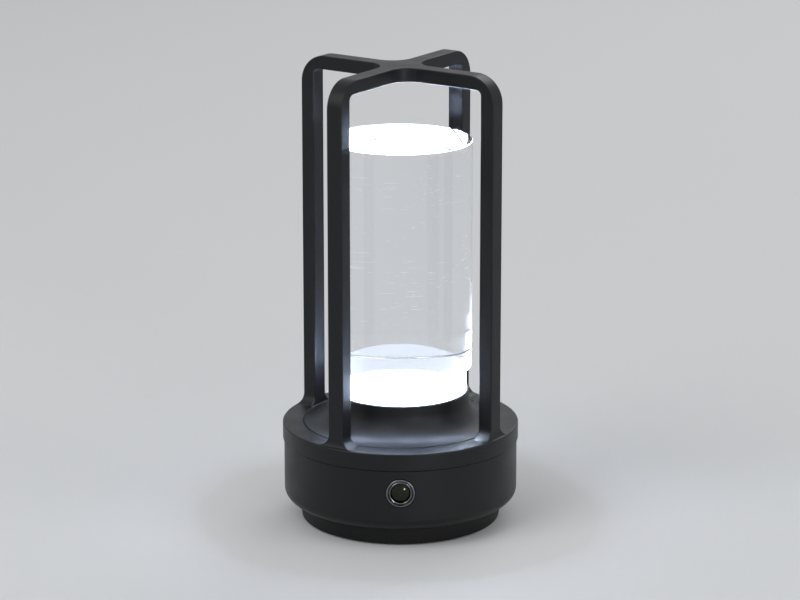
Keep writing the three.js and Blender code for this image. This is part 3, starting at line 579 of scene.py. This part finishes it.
def bright_step(look):
    """The column's polished foot above the neck, where most of the lamp's light leaves it.

    It shines outward on the posts, and the step's underside shines down on the plate. From
    inside the column both are clear.
    """
    material, tree, where = started("Polished_acrylic_foot_lit")
    cloud = noise(tree, where, CLOUD)
    face_of = add(tree, "ShaderNodeNewGeometry").outputs
    outside = sums(tree, "SUBTRACT", 1.0, face_of["Backfacing"])
    facing = add(tree, "ShaderNodeSeparateXYZ", {"Vector": face_of["True Normal"]}).outputs
    down = sums(tree, "MAXIMUM", sums(tree, "MULTIPLY", facing[2], -look.shed), look.spill)
    shine = sums(tree, "MULTIPLY", spread(tree, cloud, 0.95, 1.05), down)
    ended(tree, {
        "Base Color": list(look.acrylic) + [1.0],
        "Roughness": spread(tree, cloud, 0.0, 0.04),
        "IOR": ACRYLIC_IOR,
        "Transmission Weight": 1.0,
        "Emission Color": list(look.glow) + [1.0],
        "Emission Strength": sums(tree, "MULTIPLY", outside, shine),
    })
    material.cycles.emission_sampling = "FRONT"
    return material


def opal_dome(look):
    """Opal polycarbonate, moulded: milky, lit from within by the LEDs."""
    material, tree, where = started("Opal_polycarbonate_lit")
    cloud = noise(tree, where, CLOUD)
    ended(tree, {
        "Base Color": tinted("f2f6fb", 1.0),
        "Roughness": spread(tree, cloud, 0.3, 0.42),
        "IOR": OPAL_IOR,
        "Emission Color": list(look.glow) + [1.0],
        "Emission Strength": spread(tree, cloud, 1.8, 2.2),
    })
    material.cycles.emission_sampling = "NONE"
    return material


def backdrop(look):
    """The plain pale floor: matt, so that it keeps the lantern's soft shadow."""
    material, tree, where = started("Pale_studio_floor")
    shade = blended(tree, noise(tree, where, 500), tinted(look.floor, 0.99), tinted(look.floor, 1.01))
    ended(tree, {"Base Color": shade, "Roughness": 0.9, "Specular IOR Level": 0.1})
    return material


def finishes():
    """One material for each of the record's slots, by slot name."""
    look = bpy.context.scene.lantern_finishes
    return {
        # Die-cast aluminium, powder coated: satin, with a fine orange-peel skin about 0.9 mm across
        "cage_black": grained(
            "Satin_powder_coat", look.coat, 0.4, 0.9, 0.004, mottle=0.1, Specular_IOR_Level=0.32
        ),
        "plate_black": grained(
            "Satin_powder_coat_turned", look.coat, 0.5, 0.7, 0.003, mottle=0.1, Specular_IOR_Level=0.32
        ),
        # ABS moulded in a spark-eroded tool: satin with a tight grain about 0.5 mm across
        "drum_black": grained(
            "Moulded_satin_ABS", look.shell, 0.42, 0.5, 0.006, Specular_IOR_Level=0.32
        ),
        # ABS from a coarser tool: a duller foot that drops back under the drum
        "foot_black": grained(
            "Moulded_matt_ABS", look.foot, 0.55, 0.7, 0.01, mottle=0.15, Specular_IOR_Level=0.3
        ),
        # Moulded rubber: dull, dusty in patches
        "pad_rubber": grained("Moulded_rubber", look.rubber, 0.78, 0.4, 0.012, mottle=0.3, patch=5.0),
        "clear_acrylic": clear_acrylic(look),
        "lit_foot": lit_foot(look),
        "bright_step": bright_step(look),
        "opal_plastic": opal_dome(look),
        # Translucent silicone ring: milky and soft-edged
        "silicone": grained("Moulded_silicone", "d9dcdc", 0.5, 0.8, 0.004, IOR=1.41),
        # Aluminium-cored board under white solder mask: glossy mask over a faint weave
        "board_aluminium": grained("White_solder_mask", "e9e7df", 0.32, 0.35, 0.004, mottle=0.03),
        # Phosphor gel in a potted package: waxy yellow with settled specks
        "led_phosphor": grained("Phosphor_gel", "f2d44a", 0.25, 0.15, 0.004, mottle=0.2, patch=1.5),
        # Chrome over polished brass, made near black: a painted dark reflection, so the channel and cap
        # read near black
        "bright_chrome": grained(
            "Chrome_darkened_painted_reflection", look.chrome, 0.09, 0.25, 0.0004, 1.0, vary=0.03, patch=2.0, mottle=0.12
        ),
        # The same plate on the two rims, paler and with a softer shine: a painted highlight that keeps
        # the thin rims bright beside the dark channel
        "rim_highlight_chrome": grained(
            "Black_chrome_rims_painted_highlight", look.rubbed, 0.2, 0.2, 0.0006, 1.0, patch=1.5, mottle=0.25
        ),
        # Zinc-plated steel: dull silver with the plate's cloudy spangle
        "plain_steel": grained(
            "Zinc_plated_steel", "a8aaad", 0.34, 0.3, 0.003, 1.0, patch=2.5, mottle=0.12
        ),
        # Glass-filled nylon: matt black with fibre speckle
        "black_plastic": grained("Glass_filled_nylon", "131314", 0.5, 0.3, 0.006, mottle=0.35),
        # PVC shrink sleeve: glossy blue film drawn tight over the cell
        "cell_can": grained(
            "PVC_shrink_sleeve", "1c4f8f", 0.22, 1.5, 0.01, stretch=(0.2, 1, 1), mottle=0.06
        ),
        # Glass-epoxy board under green mask: glossy, with its cloth weave 0.5 mm apart
        "circuit_board": grained("Green_solder_mask", "155235", 0.3, 0.5, 0.006, mottle=0.15),
        # Sintered ferrite: dark, dense and slightly sparkling
        "ferrite": grained("Sintered_ferrite", "2b2b2e", 0.45, 0.2, 0.006, mottle=0.3, patch=1.5),
        # Nylon housing: white and slightly waxy
        "white_plastic": grained("Moulded_nylon_white", "e9e7df", 0.4, 0.6, 0.004, mottle=0.04),
        # Extruded PVC insulation: smooth, with a faint draw along the wire
        "white_sleeve": grained("PVC_insulation_white", "e9e7df", 0.38, 0.5, 0.004, mottle=0.04),
        "red_sleeve": grained("PVC_insulation_red", "b3201c", 0.38, 0.5, 0.004, mottle=0.08),
        "black_sleeve": grained("PVC_insulation_black", "131314", 0.38, 0.5, 0.004, mottle=0.2),
    }


# Pieces


class LANTERN_OT_cage(Operator):
    """Adds the cage: ring, four flared posts and the crossing on top, as one casting."""

    bl_idname = "lantern.cage"
    bl_label = "Cage"

    def corner(self, s, turn_at, inner, foot):
        """Takes the bar's end face round the corner, from the wide outer arc to the tight inner one."""
        steps, under = CORNER_STEPS // 4, s.height - s.bar
        arc_x, arc_z = inner - s.inner_corner, under - s.inner_corner
        outside = arc(turn_at, foot, s.corner, 90, 0, 4 * steps)
        level = [(turn_at + (arc_x - turn_at) * i / steps, under) for i in range(steps)]
        upright = [(inner, arc_z + (foot - arc_z) * i / steps) for i in range(1, steps + 1)]
        inside = level + arc(arc_x, arc_z, s.inner_corner, 90, 0, 2 * steps) + upright
        ends = [(Vector(a), Vector(b)) for a, b in zip(outside, inside)]
        for (a, b), (c, d) in zip(ends, ends[1:]):
            move, centre = (c + d - a - b) / 2, (c + d) / 2
            here, there = (math.atan2(*(end[0] - end[1])) for end in ((a, b), (c, d)))
            about = {"center_override": (centre.x, 0, centre.y)}
            pull((move.x, 0, move.y))
            # Stands the face upright, sets its height and lays it over to its new tilt
            bpy.ops.transform.rotate(value=here, orient_axis="Y", **about)
            bpy.ops.transform.resize(value=(1, 1, (c - d).length / (a - b).length), **about)
            bpy.ops.transform.rotate(value=-there, orient_axis="Y", **about)

    def quarter(self, s):
        """A quarter of the crossing with its bar, corner, post and flared foot."""
        half, arm = s.width / 2, s.width / 2 + s.fillet
        side = arc(arm, arm, s.fillet, 225, 270, FILLET_STEPS)
        plan = [(x, -y) for x, y in side] + [(x, y) for x, y in reversed(side)]
        top = s.height
        piece = draw("cage", [(0, 0, top)] + [(x, y, top) for x, y in plan])
        bpy.ops.mesh.edge_face_add()
        pull((0, 0, -s.bar))
        settle(piece)
        # Open the two seams to the neighbouring quarters
        edit(piece, "FACE", lambda m, f: abs(f.normal.z) < 0.5 and f.center.x < side[0][0] - WELD)
        bpy.ops.mesh.delete(type="FACE")

        def fillet_edge(mesh, edge):
            a, b = (mesh.vertices[i].co for i in edge.vertices)
            flat = abs(a.z - b.z) < WELD
            return flat and min(a.x, b.x) > side[0][0] - WELD and max(a.x, b.x) - min(a.x, b.x) > WELD

        edit(piece, "EDGE", fillet_edge)
        bpy.ops.mesh.bevel(offset=s.rounding, segments=ROUND_STEPS, affect="EDGES", clamp_overlap=False)
        edit(piece, "FACE", lambda m, f: f.normal.x > 0.99 and f.center.x > arm - WELD)
        outer, inner = s.radius - s.setback, s.radius - s.setback - s.depth
        turn_at, foot = outer - s.corner, s.height - s.corner
        ring_top = self.ring_top
        pull((turn_at - arm, 0, 0))
        self.corner(s, turn_at, inner, foot)
        flare_top = ring_top + s.flare
        pull((0, 0, flare_top - foot))
        # The foot widens along a quarter of an ellipse on three of its sides
        wide, deep, at = half, s.depth, flare_top
        for i in range(1, FILLET_STEPS + 1):
            angle = QUARTER * i / FILLET_STEPS
            share = 1 - math.cos(angle)
            lower = flare_top - (s.flare - 2 * DOT) * math.sin(angle)
            new_wide, new_deep = half + s.flare * share, s.depth + s.flare_out * share
            pull((0, 0, lower - at))
            bpy.ops.transform.resize(
                value=(new_deep / deep, new_wide / wide, 1), center_override=(inner, 0, lower)
            )
            wide, deep, at = new_wide, new_deep, lower
        pull((0, 0, ring_top - s.sink - at))
        return piece

    def execute(self, context):
        s = context.scene.lantern_cage
        bottom = BOX["drum_shell"][1].z + SEAM
        self.ring_top = top = bottom + s.ring_height
        cage = self.quarter(s)
        edit(cage)
        bpy.ops.mesh.spin(
            steps=3, angle=3 * QUARTER, center=(0, 0, 0), axis=(0, 0, 1), dupli=True
        )
        settle(cage)
        trim = s.radius - s.ring_edge
        inside = [(0, 0), (trim, 0), (trim, s.height + s.bar), (0, s.height + s.bar)]
        combine(cage, turned("trim", inside, BASE_STEPS, closed=False), "INTERSECT")
        pocket, edge, foot = s.radius - s.land, s.radius - s.ring_edge, s.ring_foot
        outline = [
            (s.ledge_radius, bottom),
            (s.lip_outer - s.lip_wall, bottom),
            (s.lip_outer - s.lip_wall, s.lip_bottom),
            (s.lip_outer, s.lip_bottom),
            (s.lip_outer, bottom),
            *arc(s.radius - foot, bottom + foot, foot, -90, 0, ROUND_STEPS),
            *arc(edge, top - s.ring_edge, s.ring_edge, 0, 90, ROUND_STEPS * 2),
            (pocket + s.chamfer, top),
            (pocket, top - s.chamfer),
            (pocket, top - s.ledge_depth),
            (s.ledge_radius, top - s.ledge_depth),
        ]
        ring = turned("ring", outline, BASE_STEPS)
        combine(cage, ring, "UNION")
        cage.rotation_euler.z = s.twist
        settle(cage)
        place(cage, LANTERN, "cage_frame", "cage_black", weighted=True)
        return {"FINISHED"}


class LANTERN_OT_plate(Operator):
    """Adds the round top plate with the raised neck that holds the column."""

    bl_idname = "lantern.plate"
    bl_label = "Top plate"

    def execute(self, context):
        s = context.scene.lantern_base
        low, high = BOX["top_plate"][0].z, BOX["top_plate"][1].z
        top = low + s.plate_thick
        e, fillet, bore = s.plate_edge, s.neck_fillet, s.neck_radius - s.neck_wall
        outline = [
            (0, low),
            (s.plate_radius, low),
            (s.plate_radius, top - e),
            (s.plate_radius - e, top),
            *arc(s.neck_radius + fillet, top + fillet, fillet, 270, 180, FILLET_STEPS),
            (s.neck_radius, high - e),
            (s.neck_radius - e, high),
            (bore + e / 2, high),
            (bore, high - e / 2),
            (bore, low + s.web),
            (0, low + s.web),
        ]
        plate = turned("plate", outline, BASE_STEPS, closed=False)
        place(plate, LANTERN, "top_plate", "plate_black", weighted=True)
        return {"FINISHED"}


class LANTERN_OT_column(Operator):
    """Adds the stepped acrylic column, with its flat top and the hollow over the dome."""

    bl_idname = "lantern.column"
    bl_label = "Acrylic column"

    def execute(self, context):
        s = context.scene.lantern_column
        low, high = BOX["light_column"][0].z, BOX["light_column"][1].z
        step = BOX["top_plate"][1].z + s.reveal
        rim = s.radius - s.edge
        dome_top = BOX["diffuser_dome"][1].z
        hollow_at = dome_top - s.dome
        hollow_end = math.degrees(math.asin((low - hollow_at) / s.hollow))
        narrow, neck_top = s.radius - s.step, BOX["top_plate"][1].z
        outline = [
            *arc(0, hollow_at, s.hollow, 90, hollow_end, FILLET_STEPS * 3),
            (narrow - s.edge, low),
            (narrow, low + s.edge),
            (narrow, neck_top),
            (narrow, step),
            *arc(rim, step + s.edge, s.edge, -90, 0, ROUND_STEPS),
            *arc(rim, high - s.edge, s.edge, 0, 90, ROUND_STEPS),
            (0, high),
        ]
        column = turned("column", outline, COLUMN_STEPS, closed=False)
        # Weighted normals keep the long polished wall true, so it bends light as a cylinder does
        finishes = ("clear_acrylic", "lit_foot", "bright_step")
        place(column, LANTERN, "light_column", *finishes, weighted=True)

        def blasted(mesh, face):
            away = (face.center - Vector((0, 0, hollow_at))).length
            return away < s.hollow + DOT or face.center.z < neck_top

        def shining(mesh, face):
            return face.center.z < step + DOT and not blasted(mesh, face)

        painted(column, 1, blasted)
        painted(column, 2, shining)
        return {"FINISHED"}


class LANTERN_OT_dome(Operator):
    """Adds the opal dome that spreads the LEDs' light in the column's foot."""

    bl_idname = "lantern.dome"
    bl_label = "Opal dome"

    def execute(self, context):
        s = context.scene.lantern_column
        low, high = BOX["diffuser_dome"]
        seat, apex, flange = low.z, high.z, high.x
        middle, inner = apex - s.dome, s.dome - s.dome_wall
        start = math.degrees(math.asin((seat + s.flange - middle) / s.dome))
        end = math.degrees(math.asin((seat - middle) / inner))
        outline = [
            *arc(0, middle, inner, 90, end, FILLET_STEPS * 2),
            (flange, seat),
            (flange, seat + s.flange),
            *arc(0, middle, s.dome, start, 90, FILLET_STEPS * 2),
        ]
        dome = turned("dome", outline, COLUMN_STEPS, closed=False)
        place(dome, LANTERN, "diffuser_dome", "opal_plastic")
        return {"FINISHED"}


class LANTERN_OT_drum(Operator):
    """Adds the drum, with the button's spot face and the inlet's recess cut into it."""

    bl_idname = "lantern.drum"
    bl_label = "Drum"

    def execute(self, context):
        s, i = context.scene.lantern_base, context.scene.lantern_inlet
        low, high = BOX["drum_shell"][0].z, BOX["drum_shell"][1].z
        flat, corner = s.drum_radius - s.corner_wide, low + s.corner_high
        inside, floor = s.drum_radius - s.drum_wall, low + s.drum_floor
        ledge, e = context.scene.lantern_cage.ledge_radius, s.drum_edge
        outline = [
            (ledge, low),
            *arc(flat, corner, s.corner_wide, -90, 0, CORNER_STEPS, s.corner_high),
            *arc(s.drum_radius - e, high - e, e, 0, 90, ROUND_STEPS),
            (inside, high),
            *arc(
                flat, corner, s.corner_wide - s.drum_wall, 0, -90, CORNER_STEPS,
                s.corner_high - s.drum_floor,
            ),
            (ledge, floor),
        ]
        drum = turned("drum", outline, BASE_STEPS)
        front, back = -s.drum_radius, s.drum_radius
        for radius, start, end in (
            (s.spot_radius, front - CUT_START, front + s.spot_depth),
            (s.hole_radius, front - CUT_START, front + CUT_WALLS * s.drum_wall),
        ):
            outline = [(0, start), (radius, start), (radius, end), (0, end)]
            combine(drum, turned("bore", outline, BUTTON_STEPS, closed=False, button=True), "DIFFERENCE")
        inlet_low, inlet_high = BOX["usb_socket"]
        middle = (inlet_low.z + inlet_high.z) / 2
        wide, tall = inlet_high.x - inlet_low.x, inlet_high.z - inlet_low.z
        for width, height, start in (
            (i.recess_width, i.recess_height, back - i.recess_depth),
            (wide + 2 * i.clearance, tall + 2 * i.clearance, back - CUT_WALLS * s.drum_wall),
        ):
            outline = stadium(width, height, middle, start)
            combine(drum, drawn_out("slot", outline, (0, back + CUT_START - start, 0)), "DIFFERENCE")
        settle(drum)
        place(drum, LANTERN, "drum_shell", "drum_black", weighted=True)
        return {"FINISHED"}


class LANTERN_OT_foot(Operator):
    """Adds the narrow foot and the ribbed rubber pad that it stands on."""

    bl_idname = "lantern.foot"
    bl_label = "Foot and pad"

    def execute(self, context):
        s = context.scene.lantern_base
        low, high = BOX["foot_cover"][0].z, BOX["foot_cover"][1].z
        bottom, floor = s.foot_radius - s.foot_taper, low + s.foot_floor
        outer, inner = s.pad_radius, s.pad_radius - s.pad_width
        outline = [
            (0, low),
            (inner - SEAM, low),
            (inner - SEAM, s.groove),
            (outer + SEAM, s.groove),
            (outer + SEAM, low),
            *arc(bottom - s.foot_edge, low + s.foot_edge, s.foot_edge, -90, 0, ROUND_STEPS * 2),
            (s.foot_radius, high),
            (s.foot_radius - s.foot_wall, high),
            (s.foot_radius - s.foot_wall, floor),
            (0, floor),
        ]
        foot = turned("foot", outline, BASE_STEPS, closed=False)
        place(foot, LANTERN, "foot_cover", "foot_black", weighted=True)
        # The pad's underside has moulded ribs, so it grips a table
        pad_top, e = BOX["foot_pad"][1].z, s.pad_edge
        ribs, side = [], s.rib_pitch / 5
        count = round((s.pad_width - 2 * e) / s.rib_pitch)
        for n in range(1, count):
            at = inner + s.pad_width * n / count
            ribs += [(at - side, 0), (at - side / 2, s.rib_depth)]
            ribs += [(at + side / 2, s.rib_depth), (at + side, 0)]
        outline = [
            *arc(inner + e, e, e, 180, 270, ROUND_STEPS),
            *ribs,
            *arc(outer - e, e, e, 270, 360, ROUND_STEPS),
            (outer, pad_top),
            (inner, pad_top),
        ]
        pad = turned("pad", outline, COLUMN_STEPS)
        place(pad, LANTERN, "foot_pad", "pad_rubber")
        return {"FINISHED"}


class LANTERN_OT_button(Operator):
    """Adds the button's chrome ring, with its dished channel, and its domed cap."""

    bl_idname = "lantern.button"
    bl_label = "Push button"

    def execute(self, context):
        s = context.scene.lantern_button
        front, end = BOX["button_bezel"][0].y, BOX["button_bezel"][1].y
        back = front + s.lip
        crest, inner_rim = s.radius - s.rounding - s.crest, s.bore + s.rounding
        middle, reach = (inner_rim + crest) / 2, (crest - inner_rim) / 2
        channel = []
        for n in range(1, CORNER_STEPS):
            t = n / CORNER_STEPS * 2 - 1
            rise = s.dish - (s.drop if t < 0 else 0)
            channel.append((middle + reach * t, front + s.dish - rise * abs(t) ** CHANNEL_POWER))
        bore_step = back + s.step
        barrel_in = s.barrel - s.barrel_wall
        thread, at = [], back + 2 * s.thread
        while at < end - s.thread:
            thread += [(s.barrel, at), (s.barrel - s.thread_depth, at + s.thread / 2)]
            at += s.thread
        outline = [
            *arc(inner_rim, front + s.drop + s.rounding, s.rounding, 180, 270, ROUND_STEPS),
            *channel,
            (crest, front),
            *arc(s.radius - s.rounding, front + s.rounding, s.rounding, 270, 360, ROUND_STEPS),
            (s.radius, back),
            (s.barrel, back),
            *thread,
            (s.barrel, end),
            (barrel_in, end),
            (barrel_in, bore_step),
            (s.bore, bore_step),
        ]
        ring = turned("bezel", outline, BUTTON_STEPS, button=True)
        place(ring, LANTERN, "button_bezel", "bright_chrome", "rim_highlight_chrome")

        # The faces of the two rims take the paler chrome: a painted highlight
        def rubbed(mesh, face):
            away = math.hypot(face.center.x, face.center.z - BUTTON_LEVEL)
            return face.center.y < back and not inner_rim + s.crest < away < crest

        painted(ring, 1, rubbed)
        cap_front, cap_end = BOX["button_cap"][0].y, BOX["button_cap"][1].y
        face = -context.scene.lantern_base.drum_radius
        bow = (s.cap**2 + s.dome**2) / (2 * s.dome)
        half = math.degrees(math.asin(s.cap / bow))
        outline = [
            *arc(0, cap_front + bow, bow, 270, 270 + half, FILLET_STEPS),
            (s.cap, face + s.flange_front),
            (s.flange, face + s.flange_front),
            (s.flange, face + s.flange_front + s.flange_thick),
            (s.stem, face + s.flange_front + s.flange_thick),
            (s.stem, cap_end),
            (0, cap_end),
        ]
        cap = turned("cap", outline, BUTTON_STEPS, closed=False, button=True)
        place(cap, BUTTON, "button_cap", "bright_chrome")
        return {"FINISHED"}


class LANTERN_OT_spring(Operator):
    """Adds the coiled return spring behind the cap."""

    bl_idname = "lantern.spring"
    bl_label = "Return spring"

    def execute(self, context):
        s = context.scene.lantern_button
        low, high = BOX["button_spring"]
        rise = high.y - low.y - 2 * s.wire
        wire = arc(high.x - s.wire, low.y + s.wire, s.wire, 0, 360, CORNER_STEPS)
        spring = draw("spring", [(across, along, 0) for across, along in wire[:-1]])
        bpy.ops.object.mode_set(mode="OBJECT")
        bpy.ops.object.transform_apply(location=True, rotation=True, scale=True)
        coil = spring.modifiers.new("Coil", "SCREW")
        coil.axis, coil.iterations, coil.screw_offset = "Y", SPRING_TURNS, rise / SPRING_TURNS
        coil.steps = coil.render_steps = CORNER_STEPS * 3
        bpy.ops.object.modifier_apply(modifier=coil.name)
        edit(spring)
        bpy.ops.mesh.fill_holes(sides=0)
        bpy.ops.transform.translate(value=(0, 0, BUTTON_LEVEL))
        settle(spring)
        place(spring, LANTERN, "button_spring", "plain_steel")
        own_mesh(spring)
        return {"FINISHED"}


class LANTERN_OT_inlet(Operator):
    """Adds the charging inlet's drawn shell and its tongue."""

    bl_idname = "lantern.inlet"
    bl_label = "Charging inlet"

    def execute(self, context):
        s = context.scene.lantern_inlet
        low, high = BOX["usb_socket"]
        middle = (low.z + high.z) / 2
        width, height = high.x - low.x, high.z - low.z
        inlet = drawn_out("inlet", stadium(width, height, middle, low.y), (0, high.y - low.y, 0))
        edit(inlet, "FACE", lambda m, f: f.normal.y > 0.9)
        bpy.ops.mesh.inset(thickness=s.skin)
        pull((0, -s.depth, 0))
        # The tongue grows from the mouth's floor
        floor = high.y - s.depth
        bpy.ops.mesh.inset(thickness=(height - 2 * s.skin - s.tongue_thick) / 2)
        bpy.ops.transform.resize(
            value=(s.tongue_width / (width - height + s.tongue_thick), 1, 1),
            center_override=(0, floor, middle),
        )
        pull((0, s.tongue_length, 0))
        settle(inlet)
        place(inlet, LANTERN, "usb_socket", "plain_steel")
        return {"FINISHED"}


class LANTERN_OT_inside(Operator):
    """Gives each CAD node the finish of its slot."""

    bl_idname = "lantern.inside"
    bl_label = "Inside pieces"

    def execute(self, context):
        for name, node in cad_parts.items():
            for slot in node.material_slots:
                slot.material = MATERIALS[slot.material.name.split(".")[0]]
        return {"FINISHED"}


class LANTERN_OT_stage(Operator):
    """Adds the pale floor, the soft lamps, the even room light and the camera."""

    bl_idname = "lantern.stage"
    bl_label = "Stage"

    def lamp(self, name, watts, at, aim):
        """Adds an area lamp that faces a level on the lantern's axis."""
        facing = (Vector((0, 0, aim)) - Vector(at)).to_track_quat("-Z", "Y").to_euler()
        bpy.ops.object.light_add(type="AREA", location=at, rotation=facing)
        lamp = bpy.context.object
        lamp.name, lamp.data.energy = name, watts
        return lamp

    def execute(self, context):
        s = context.scene.lantern_stage
        deselect()
        bpy.ops.mesh.primitive_plane_add(size=24)
        floor = context.object
        floor.name = "floor"
        floor.data.materials.append(backdrop(s))
        for name, watts, (size, at) in (
            ("key", s.key, KEY_LAMP), ("fill", s.fill, FILL_LAMP), ("rim", s.fill, RIM_LAMP)
        ):
            self.lamp(name, watts, at, LAMP_AIM).data.size = size
        # A small lamp low on the right puts the one white glint on the button's dome
        glint = self.lamp("glint", s.glint, GLINT_AT, BUTTON_LEVEL)
        glint.visible_camera = False
        glint.data.shape, glint.data.spread = "RECTANGLE", GLINT_SPREAD
        glint.data.size, glint.data.size_y = GLINT_SIZE
        world = bpy.data.worlds.new("Even_room_light")
        context.scene.world = world
        world.use_nodes = True
        tree = world.node_tree
        tree.nodes.clear()
        path = add(tree, "ShaderNodeLightPath").outputs
        seen = sums(tree, "MAXIMUM", path["Is Camera Ray"], path["Is Transmission Ray"])
        seen = sums(tree, "MAXIMUM", seen, path["Is Glossy Ray"])
        room = add(tree, "ShaderNodeBackground", {"Color": [1, 1, 1, 1], "Strength": s.room})
        pale = add(tree, "ShaderNodeBackground", {"Color": tinted(s.floor, 1.0), "Strength": 1.0})
        both = add(tree, "ShaderNodeMixShader", {0: seen, 1: room.outputs[0], 2: pale.outputs[0]})
        add(tree, "ShaderNodeOutputWorld", {"Surface": both.outputs[0]})
        back = Vector((0, -math.cos(s.pitch), math.sin(s.pitch))) * s.distance
        bpy.ops.object.camera_add(
            location=Vector((s.aside, 0, s.aim)) + back, rotation=(QUARTER - s.pitch, 0, 0)
        )
        camera = context.object
        camera.data.lens, camera.data.sensor_width = s.lens, 36
        context.scene.camera = camera
        context.scene.view_settings.view_transform = "Standard"
        return {"FINISHED"}


class LANTERN_PT_panel(Panel):
    """Lists the lantern's sizes, finishes and pieces."""

    bl_idname = "LANTERN_PT_panel"
    bl_label = "Lantern"
    bl_space_type = "VIEW_3D"
    bl_region_type = "UI"
    bl_category = "Lantern"

    def draw(self, context):
        for name, kind in SETTINGS.items():
            group = getattr(context.scene, name)
            box = self.layout.box()
            box.label(text=kind.__doc__)
            for setting in kind.__annotations__:
                box.prop(group, setting)
        for kind in OPERATORS:
            self.layout.operator(kind.bl_idname)


SETTINGS = {
    "lantern_cage": CageSizes,
    "lantern_base": BaseSizes,
    "lantern_column": ColumnSizes,
    "lantern_button": ButtonSizes,
    "lantern_inlet": InletSizes,
    "lantern_finishes": Finishes,
    "lantern_stage": StageSizes,
}
OPERATORS = (
    LANTERN_OT_stage,
    LANTERN_OT_cage,
    LANTERN_OT_plate,
    LANTERN_OT_column,
    LANTERN_OT_dome,
    LANTERN_OT_drum,
    LANTERN_OT_foot,
    LANTERN_OT_button,
    LANTERN_OT_spring,
    LANTERN_OT_inlet,
    LANTERN_OT_inside,
)
MATERIALS = {}


def register():
    """Registers the settings, operators and panel."""
    for kind in (*SETTINGS.values(), *OPERATORS, LANTERN_PT_panel):
        bpy.utils.register_class(kind)
    for name, kind in SETTINGS.items():
        setattr(bpy.types.Scene, name, PointerProperty(type=kind))


def unregister():
    """Removes what register added."""
    for name in SETTINGS:
        delattr(bpy.types.Scene, name)
    for kind in reversed((*SETTINGS.values(), *OPERATORS, LANTERN_PT_panel)):
        bpy.utils.unregister_class(kind)


def main():
    """Registers the settings and operators, makes the finishes and runs each operator."""
    register()
    MATERIALS.update(finishes())
    for kind in OPERATORS:
        group, name = kind.bl_idname.split(".")
        getattr(getattr(bpy.ops, group), name)()


if __name__ == "__main__":
    main()
